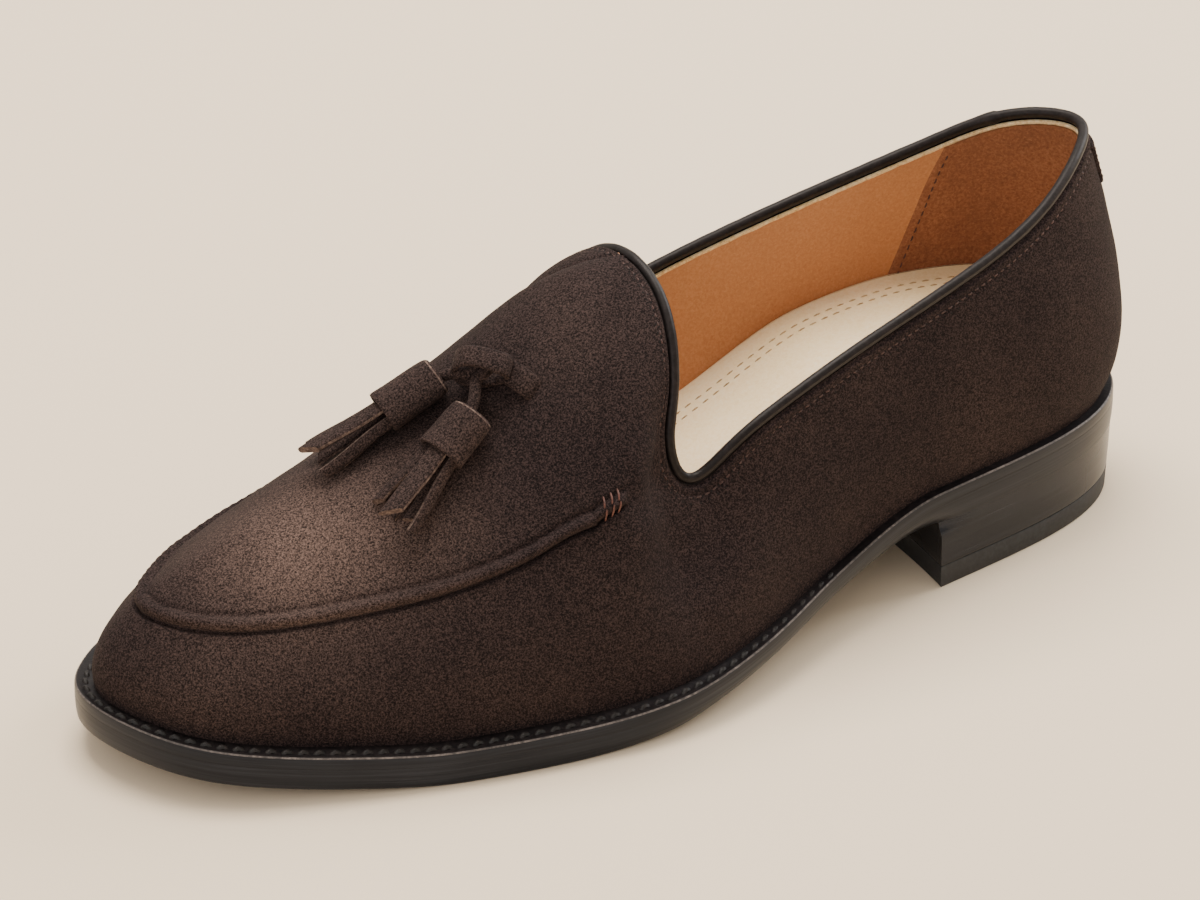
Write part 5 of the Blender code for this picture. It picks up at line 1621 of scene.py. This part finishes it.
@dataclass(frozen=True)
class TasselTrim:
    """The knot of thong on the vamp and its two tassels.

    A place is a section row, a share of the section and a height counted in ring radii.

    Attributes:
        thong: thickness of the thong.
        strap_half: half width of the two straps.
        slot_half: half width and half height of a slot's mouth.
        slot_ahead: how far a mouth's middle lies beyond its place.
        ring_radius: height of the ring's middle line over its own centre.
        ring_width: width of the solid's ring along the cords.
        ring_spread: how much wider the ring is here.
        ring_turn: how far the ring is turned on the vamp, in degrees.
        ring_wide: how much wider than high its arch is.
        ring_thong: thickness of its thong.
        ring_ends: angles at which its thong starts and ends, in degrees; they lap.
        ring_climb: how far the thong's end stands over its start for a half turn.
        knot_nap: how far the knot's nap is brushed up.
        tassel_nap: how far the tassels' nap is brushed up.
        cord_radius: radius of the two cords.
        cord_spacing: distance of each cord from the ring's middle.
        cap_half_width: half width of a cap.
        cap_half_depth: half depth of a cap.
        cap_setback: how far a cap's top stands back from its place.
        cap_sides: sides of a cap.
        cap_lap: how far its lapped seam stands up.
        cap_profile: share of the length and of the half width of each ring, down the outside, then up
            the inside.
        cap_edge: step of the profile that shows the pale cut edge, partly a painted highlight.
        strip_width: width of a strip.
        strip_root: how far a strip reaches into the cap.
        ring_place: centre of the ring.
        slot_places: mouths of the two slots.
        left_places: cap top, cap end and strip end of the left tassel.
        right_places: the same places of the right tassel.
        strips: place across and up from the tassel's axis, length share, tilt in degrees, end cut, curl
            and width share of each strip.
    """

    thong: float = 0.0017
    strap_half: float = 0.0032
    slot_half: Pair = (0.0036, 0.0011)
    slot_ahead: float = 0.0020
    ring_radius: float = 0.0047
    ring_width: float = 0.0056
    ring_spread: float = 1.12
    ring_turn: float = 38.0
    ring_wide: float = 1.50
    ring_thong: float = 0.0014
    ring_ends: Pair = (-62.0, 330.0)
    ring_climb: float = 0.00035
    knot_nap: float = 0.10
    tassel_nap: float = 0.12
    cord_radius: float = 0.0015
    cord_spacing: float = 0.0015
    cap_half_width: float = 0.0061
    cap_half_depth: float = 0.0047
    cap_setback: float = 0.0012
    cap_sides: int = 44
    cap_lap: float = 0.00035
    cap_profile: Pairs = (
        (0.05, 0.40), (0.01, 0.62), (0.00, 0.80), (0.03, 0.90), (0.055, 0.925), (0.10, 0.955),
        (0.22, 0.985), (0.40, 1.00), (0.60, 1.005), (0.80, 1.02), (0.94, 1.045), (0.985, 1.04),
        (1.00, 1.01), (1.00, 0.86), (0.97, 0.80), (0.80, 0.76), (0.55, 0.74))
    cap_edge: int = 3
    strip_width: float = 0.0060
    strip_root: float = 0.0040
    ring_place: Triple = (9.25, 0.888, 1.277)
    slot_places: Triples = ((8.84, 0.775, 0.277), (9.35, 0.975, 0.277))
    left_places: Triples = ((9.61, 0.987, 1.191), (15.92, 0.985, 1.149), (15.42, 0.921, 0.809))
    right_places: Triples = ((9.30, 0.793, 1.234), (9.63, 0.750, 1.149), (10.01, 0.654, 0.809))
    strips: tuple[tuple[float, ...], ...] = (
        (0.06, 0.66, 1.00, -12.0, -0.70, 0.06, 0.98), (0.84, -0.06, 1.02, 66.0, -0.30, -0.06, 0.54),
        (-0.92, -0.26, 0.92, -30.0, -0.50, 0.06, 0.60), (0.34, -0.60, 0.86, -6.0, -0.50, -0.04, 0.74),
        (-0.42, -0.56, 0.92, 8.0, 0.60, 0.04, 0.74),
    )

    def place(self, spot: Triple) -> tuple[Array, Array]:
        """Point and normal at a row, a share and a height counted in ring radii."""
        return LAST.place(spot[0], spot[1], spot[2] * self.ring_radius)

    def knot_axis(self) -> Array:
        """Direction of the cords through the ring, level with the leather."""
        _, normal = self.place(self.ring_place)
        ahead = sum(unit(self.place(places[1])[0] - self.place(places[0])[0])
                    for places in (self.left_places, self.right_places))
        return unit(ahead - normal * np.dot(ahead, normal))

    def build(self) -> None:
        """Build the knot, its slots and both tassels."""
        self.build_knot()
        self.build_tassel("left_tassel", self.left_places, 1.0, "tassel_left")
        self.build_tassel("right_tassel", self.right_places, -1.0, "tassel_right")

    def build_knot(self) -> None:
        """Lapped ring of thong and two straps that dive into slots in the vamp; the slots' mouths are dark
        discs of painted shade.
        """
        ring, normal = self.place(self.ring_place)
        turn = math.radians(self.ring_turn)
        ahead = self.knot_axis()
        axis = math.cos(turn) * ahead + math.sin(turn) * np.cross(normal, ahead)
        side = unit(np.cross(normal, axis))
        draft = Draft()
        angle = np.linspace(*np.radians(self.ring_ends), 72)
        reach = self.ring_radius + self.ring_climb * (angle - angle.mean()) / math.pi
        across, up = np.cos(angle)[:, None] * side, np.sin(angle)[:, None] * normal
        radial = unit(across / self.ring_wide + up)
        back = 0.5 * (self.ring_spread - 1.0) * self.ring_width
        centres = ring + (across * self.ring_wide + up) * reach[:, None] + axis * (
            0.0006 * np.sin(2.0 * angle) - back)[:, None]
        halves = 0.5 * self.ring_spread * self.ring_width * (1.0 - 0.10 * np.cos(angle - math.pi / 2)**2)
        ribbon(draft, centres, np.tile(axis, (len(angle), 1)), radial, halves, self.ring_thong, edge_mark=0)
        slots = Draft()
        for hand, place in zip((1.0, -1.0), self.slot_places):
            slot, slot_normal = self.place(place)
            start = ring + side * hand * self.ring_radius * 0.95 - normal * self.ring_radius * 0.62 - (
                axis * 0.20 * self.ring_width)
            way = unit(slot - start)
            across = unit(np.cross(slot_normal, way))
            # out of the ring, over a low arch to the slot and down into it
            bend = [start - way * 0.0008, start, 0.6 * start + 0.4 * slot + normal * 0.0009,
                    slot + slot_normal * 0.0003, slot + way * 0.0016 - slot_normal * 0.0012,
                    slot + way * 0.0020 - slot_normal * 0.0030]
            centres = natural_spline(np.arange(6), np.array(bend), np.linspace(0.0, 5.0, 26))
            ups = facing(unit(np.cross(unit(np.gradient(centres, axis=0)), across)), normal)
            ribbon(draft, centres, np.tile(across, (26, 1)), ups, np.full(26, self.strap_half), self.thong,
                   edge_mark=0)
            # painted shade: a flat dark disc over each slot's mouth
            ground, _ = LAST.place(place[0], place[1], 0.00025)
            wide, high = self.slot_half
            base = slots.add_points(ground + way * self.slot_ahead + ring_ways(
                full_turn(20), wide * across, high * way))
            slots.add_faces([tuple(range(base, base + 20))])
        draft.build("thong_knot", [BROWN_SUEDE, CUT_EDGE_AND_HIGHLIGHT], Slot.SUEDE, ("tassel_knot",), sharp=45.0,
                    nap_and_highlight=lambda points: np.full(len(points), self.knot_nap))
        slots.build("thong_slot_shade", [AWL_HOLE_SHADE], Slot.SUEDE)

    def build_tassel(self, name: str, places: Triples, hand: float, node: str) -> None:
        """Build one tassel.

        Args:
            name: name of the piece.
            places: cap top, cap end and strip end as (row, share, height).
            hand: which side of the ring its cord takes.
            node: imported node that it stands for.
        """
        top, normal = self.place(places[0])
        end, _ = self.place(places[1])
        tip, _ = self.place(places[2])
        axis = unit(end - top)
        top = top + axis * self.cap_setback
        side = unit(np.cross(normal, axis))
        rise = np.cross(axis, side)
        length = float(np.linalg.norm(end - top))
        draft = Draft()
        self.add_cap(draft, top, axis * length, side, rise)
        self.add_cord(draft, top, top + axis * 0.20 * length, rise, hand)
        down = unit(tip - end)
        reach = float(np.linalg.norm(tip - end))
        for number, (across, up, share, tilt, cut, curl, wide) in enumerate(self.strips):
            turn = math.radians(tilt)
            strip_side = math.cos(turn) * side - math.sin(turn) * rise
            strip_up = math.cos(turn) * rise + math.sin(turn) * side
            offset = self.cap_half_width * across * side + self.cap_half_depth * up * rise
            run = reach * share
            root = -self.strip_root * (0.80 + 0.07 * number)
            # from inside the cap the strip follows its axis, and past its rim it sinks and spreads
            stations = np.linspace(root, run, 22)
            open_share = ramp(stations, 0.0, run)
            later = unit(axis * 0.35 + down * 0.65)
            way = np.where((stations > 0.0)[:, None], later, axis)
            centres = end + way * stations[:, None] + offset * (0.78 + 0.42 * open_share)[:, None]
            centres += strip_up * (0.0040 * curl * open_share**2)[:, None]
            sides = unit(strip_side + strip_up * (curl * open_share)[:, None])
            ups = facing(unit(np.cross(later, sides)), strip_up)
            halves = 0.5 * wide * self.strip_width * np.interp(
                stations, [root, 0.0, 0.40 * run, run], [0.86, 0.92, 1.0, 0.97])
            shear = cut * ramp(stations, 0.80 * run, run)
            ribbon(draft, centres, sides, ups, halves, self.thong, shear=shear)
        draft.build(name, [BROWN_SUEDE, CUT_EDGE_AND_HIGHLIGHT], Slot.SUEDE, (node,), sharp=45.0,
                    nap_and_highlight=lambda points: np.full(len(points), self.tassel_nap))

    def add_cap(self, draft: Draft, top: Array, whole: Array, side: Array, rise: Array) -> None:
        """Wrapped cap: an oval sleeve with a drawn-in top, its pale cut edge, partly a painted highlight, and
        a lapped seam.

        Args:
            draft: draft that gets the cap.
            top: middle of the cap's top.
            whole: way from there to the middle of its end.
            side: unit way across.
            rise: unit way out of the leather.
        """
        angle = full_turn(self.cap_sides)
        past_seam = np.mod(angle - math.radians(215.0) + math.pi, 2.0 * math.pi) - math.pi
        lap = self.cap_lap * hump(past_seam, 0.30)
        swell = 1.0 + 0.03 * np.cos(2.0 * angle)**2
        rings = []
        for along, size in self.cap_profile:
            width, depth = (half * size * swell + lap for half in (self.cap_half_width, self.cap_half_depth))
            rings.append(top + whole * along + (width * np.cos(angle))[:, None] * side
                         + (depth * np.sin(angle))[:, None] * rise)
        rows = len(rings)
        start = draft.grid(np.stack(rings, axis=1), closed=True)
        faces = self.cap_sides * (rows - 1)
        # the cap's top rim takes the pale cut-edge finish, partly a painted highlight
        for face in range(len(draft.marks) - faces + self.cap_edge, len(draft.marks), rows - 1):
            draft.marks[face] = 1
        ends = [tuple(start + i * rows + row for i in range(self.cap_sides)) for row in (0, rows - 1)]
        draft.add_faces([ends[0][::-1], ends[1]])

    def add_cord(self, draft: Draft, top: Array, foot: Array, rise: Array, hand: float) -> None:
        """Rolled thong from inside the cap into the ring.

        Args:
            draft: draft that gets the cord.
            top: middle of the cap's top.
            foot: the cord's end inside the cap.
            rise: unit way out of the leather.
            hand: which side of the ring it takes.
        """
        ring, normal = self.place(self.ring_place)
        through = self.knot_axis()
        across = unit(np.cross(normal, through)) * -hand
        start = ring + through * 0.32 * self.ring_width + across * self.cord_spacing
        mouth = ring + through * (0.5 * self.ring_width + 0.0009) + across * self.cord_spacing * 1.1
        knots = np.array([start - through * 0.0030, start, mouth, 0.5 * (mouth + top) + 0.0003 * rise, foot])
        line = natural_spline(np.arange(5), knots, np.linspace(0.0, 4.0, 24))
        ways = unit(np.gradient(line, axis=0))
        first = unit(np.cross(ways, normal))
        second = np.cross(first, ways)
        angle = np.append(full_turn(14), 0.0)
        ring = ring_ways(angle, first[:, None], second[:, None])
        draft.grid(line[:, None] + self.cord_radius * ring, flip=True)


@dataclass(frozen=True)
class Camera:
    """Camera at the photograph's angle to the shoe, aimed at the one shoe.

    Attributes:
        azimuth: degrees from the toe's direction towards the outer side.
        elevation: degrees above the floor.
        roll: degrees.
        distance: metres from the aim.
        aim: point in shoe coordinates.
        lift: metres that the camera is moved up in its own picture plane.
        lens: focal length in millimetres on a 36 mm wide sensor.
    """

    azimuth: float = 56.6129
    elevation: float = 30.0176
    roll: float = 0.2286
    distance: float = 2.500
    aim: Triple = (0.1500, 0.0000, 0.0350)
    lift: float = 0.0113
    lens: float = 299.0

    def build(self) -> None:
        """Make the camera and give it to the scene."""
        az, el, roll = (math.radians(part) for part in (self.azimuth, self.elevation, self.roll))
        back = np.array([math.cos(el) * math.cos(az), math.cos(el) * math.sin(az), math.sin(el)])
        right = np.array([-math.sin(az), math.cos(az), 0.0])
        up = np.cross(back, right)
        turned = math.cos(roll) * right + math.sin(roll) * up
        upright = -math.sin(roll) * right + math.cos(roll) * up
        place = np.array(self.aim) - SHIFT + upright * self.lift + back * self.distance
        data = bpy.data.cameras.new("photo_camera")
        data.sensor_width = 36.0
        data.lens = self.lens
        data.clip_start, data.clip_end = 0.05, 60.0
        item = add_object("photo_camera", data)
        item.matrix_world = Matrix([*np.c_[turned, upright, back, place].tolist(), (0.0, 0.0, 0.0, 1.0)])
        bpy.context.scene.camera = item


@dataclass(frozen=True)
class SoftBox:
    """One soft area light: name, place, aim, size in metres, power in watts and colour."""

    name: str
    place: Triple
    size: float
    power: float
    colour: str
    aim: Triple = (0.11, 0.0, 0.03)

    def build(self) -> None:
        """Hang the light and turn it to its aim."""
        data = bpy.data.lights.new(self.name, "AREA")
        data.shape = "SQUARE"
        data.size = self.size
        data.energy = self.power
        data.color = linear(self.colour)[:3]
        item = add_object(self.name, data)
        item.location = self.place
        item.rotation_euler = (Vector(self.aim) - Vector(self.place)).to_track_quat("-Z", "Y").to_euler()


@dataclass(frozen=True)
class Studio:
    """Plain pale floor, soft lights and a pale surround."""

    floor: str = "#FAE4C6"
    surround: str = "#FAF3E9"
    surround_power: float = 0.86
    lights: tuple[SoftBox, ...] = (
        SoftBox("overhead_softbox", (0.00, -0.45, 1.60), 1.0, 36.0, "#FFF9F1"),
        SoftBox("back_softbox", (-1.30, -0.10, 0.80), 0.8, 16.0, "#FFFFFF"),
        SoftBox("front_fill", (1.50, 0.90, 0.80), 1.2, 9.0, "#F4F7FF"),
    )

    def build(self) -> None:
        """Lay the floor, hang the lights and set the surround."""
        mesh = bpy.data.meshes.new("studio_floor")
        mesh.from_pydata([(-6, -6, 0), (6, -6, 0), (6, 6, 0), (-6, 6, 0)], [], [(0, 1, 2, 3)])
        paint = bpy.data.materials.new("matte_studio_floor")
        paint.use_nodes = True
        feed(paint.node_tree, paint.node_tree.nodes["Principled BSDF"],
             {"Base Color": linear(self.floor), "Roughness": 0.9})
        mesh.materials.append(paint)
        add_object("studio_floor", mesh)
        for light in self.lights:
            light.build()
        world = bpy.data.worlds.new("pale_surround")
        world.use_nodes = True
        feed(world.node_tree, world.node_tree.nodes["Background"],
             {"Color": linear(self.surround), "Strength": self.surround_power})
        bpy.context.scene.world = world


def main() -> None:
    """Build the shoe from the upper down, then the camera and the studio."""
    logging.basicConfig(level=logging.INFO, format="%(message)s")
    for part in (SuedeUpper(), SeamEnds(), Lining(), Collar(), Sock(), Bottom(), HeelTab(), TasselTrim(),
                 Camera(), Studio()):
        part.build()
        LOG.info("built %s", type(part).__name__)


if __name__ == "__main__":
    main()
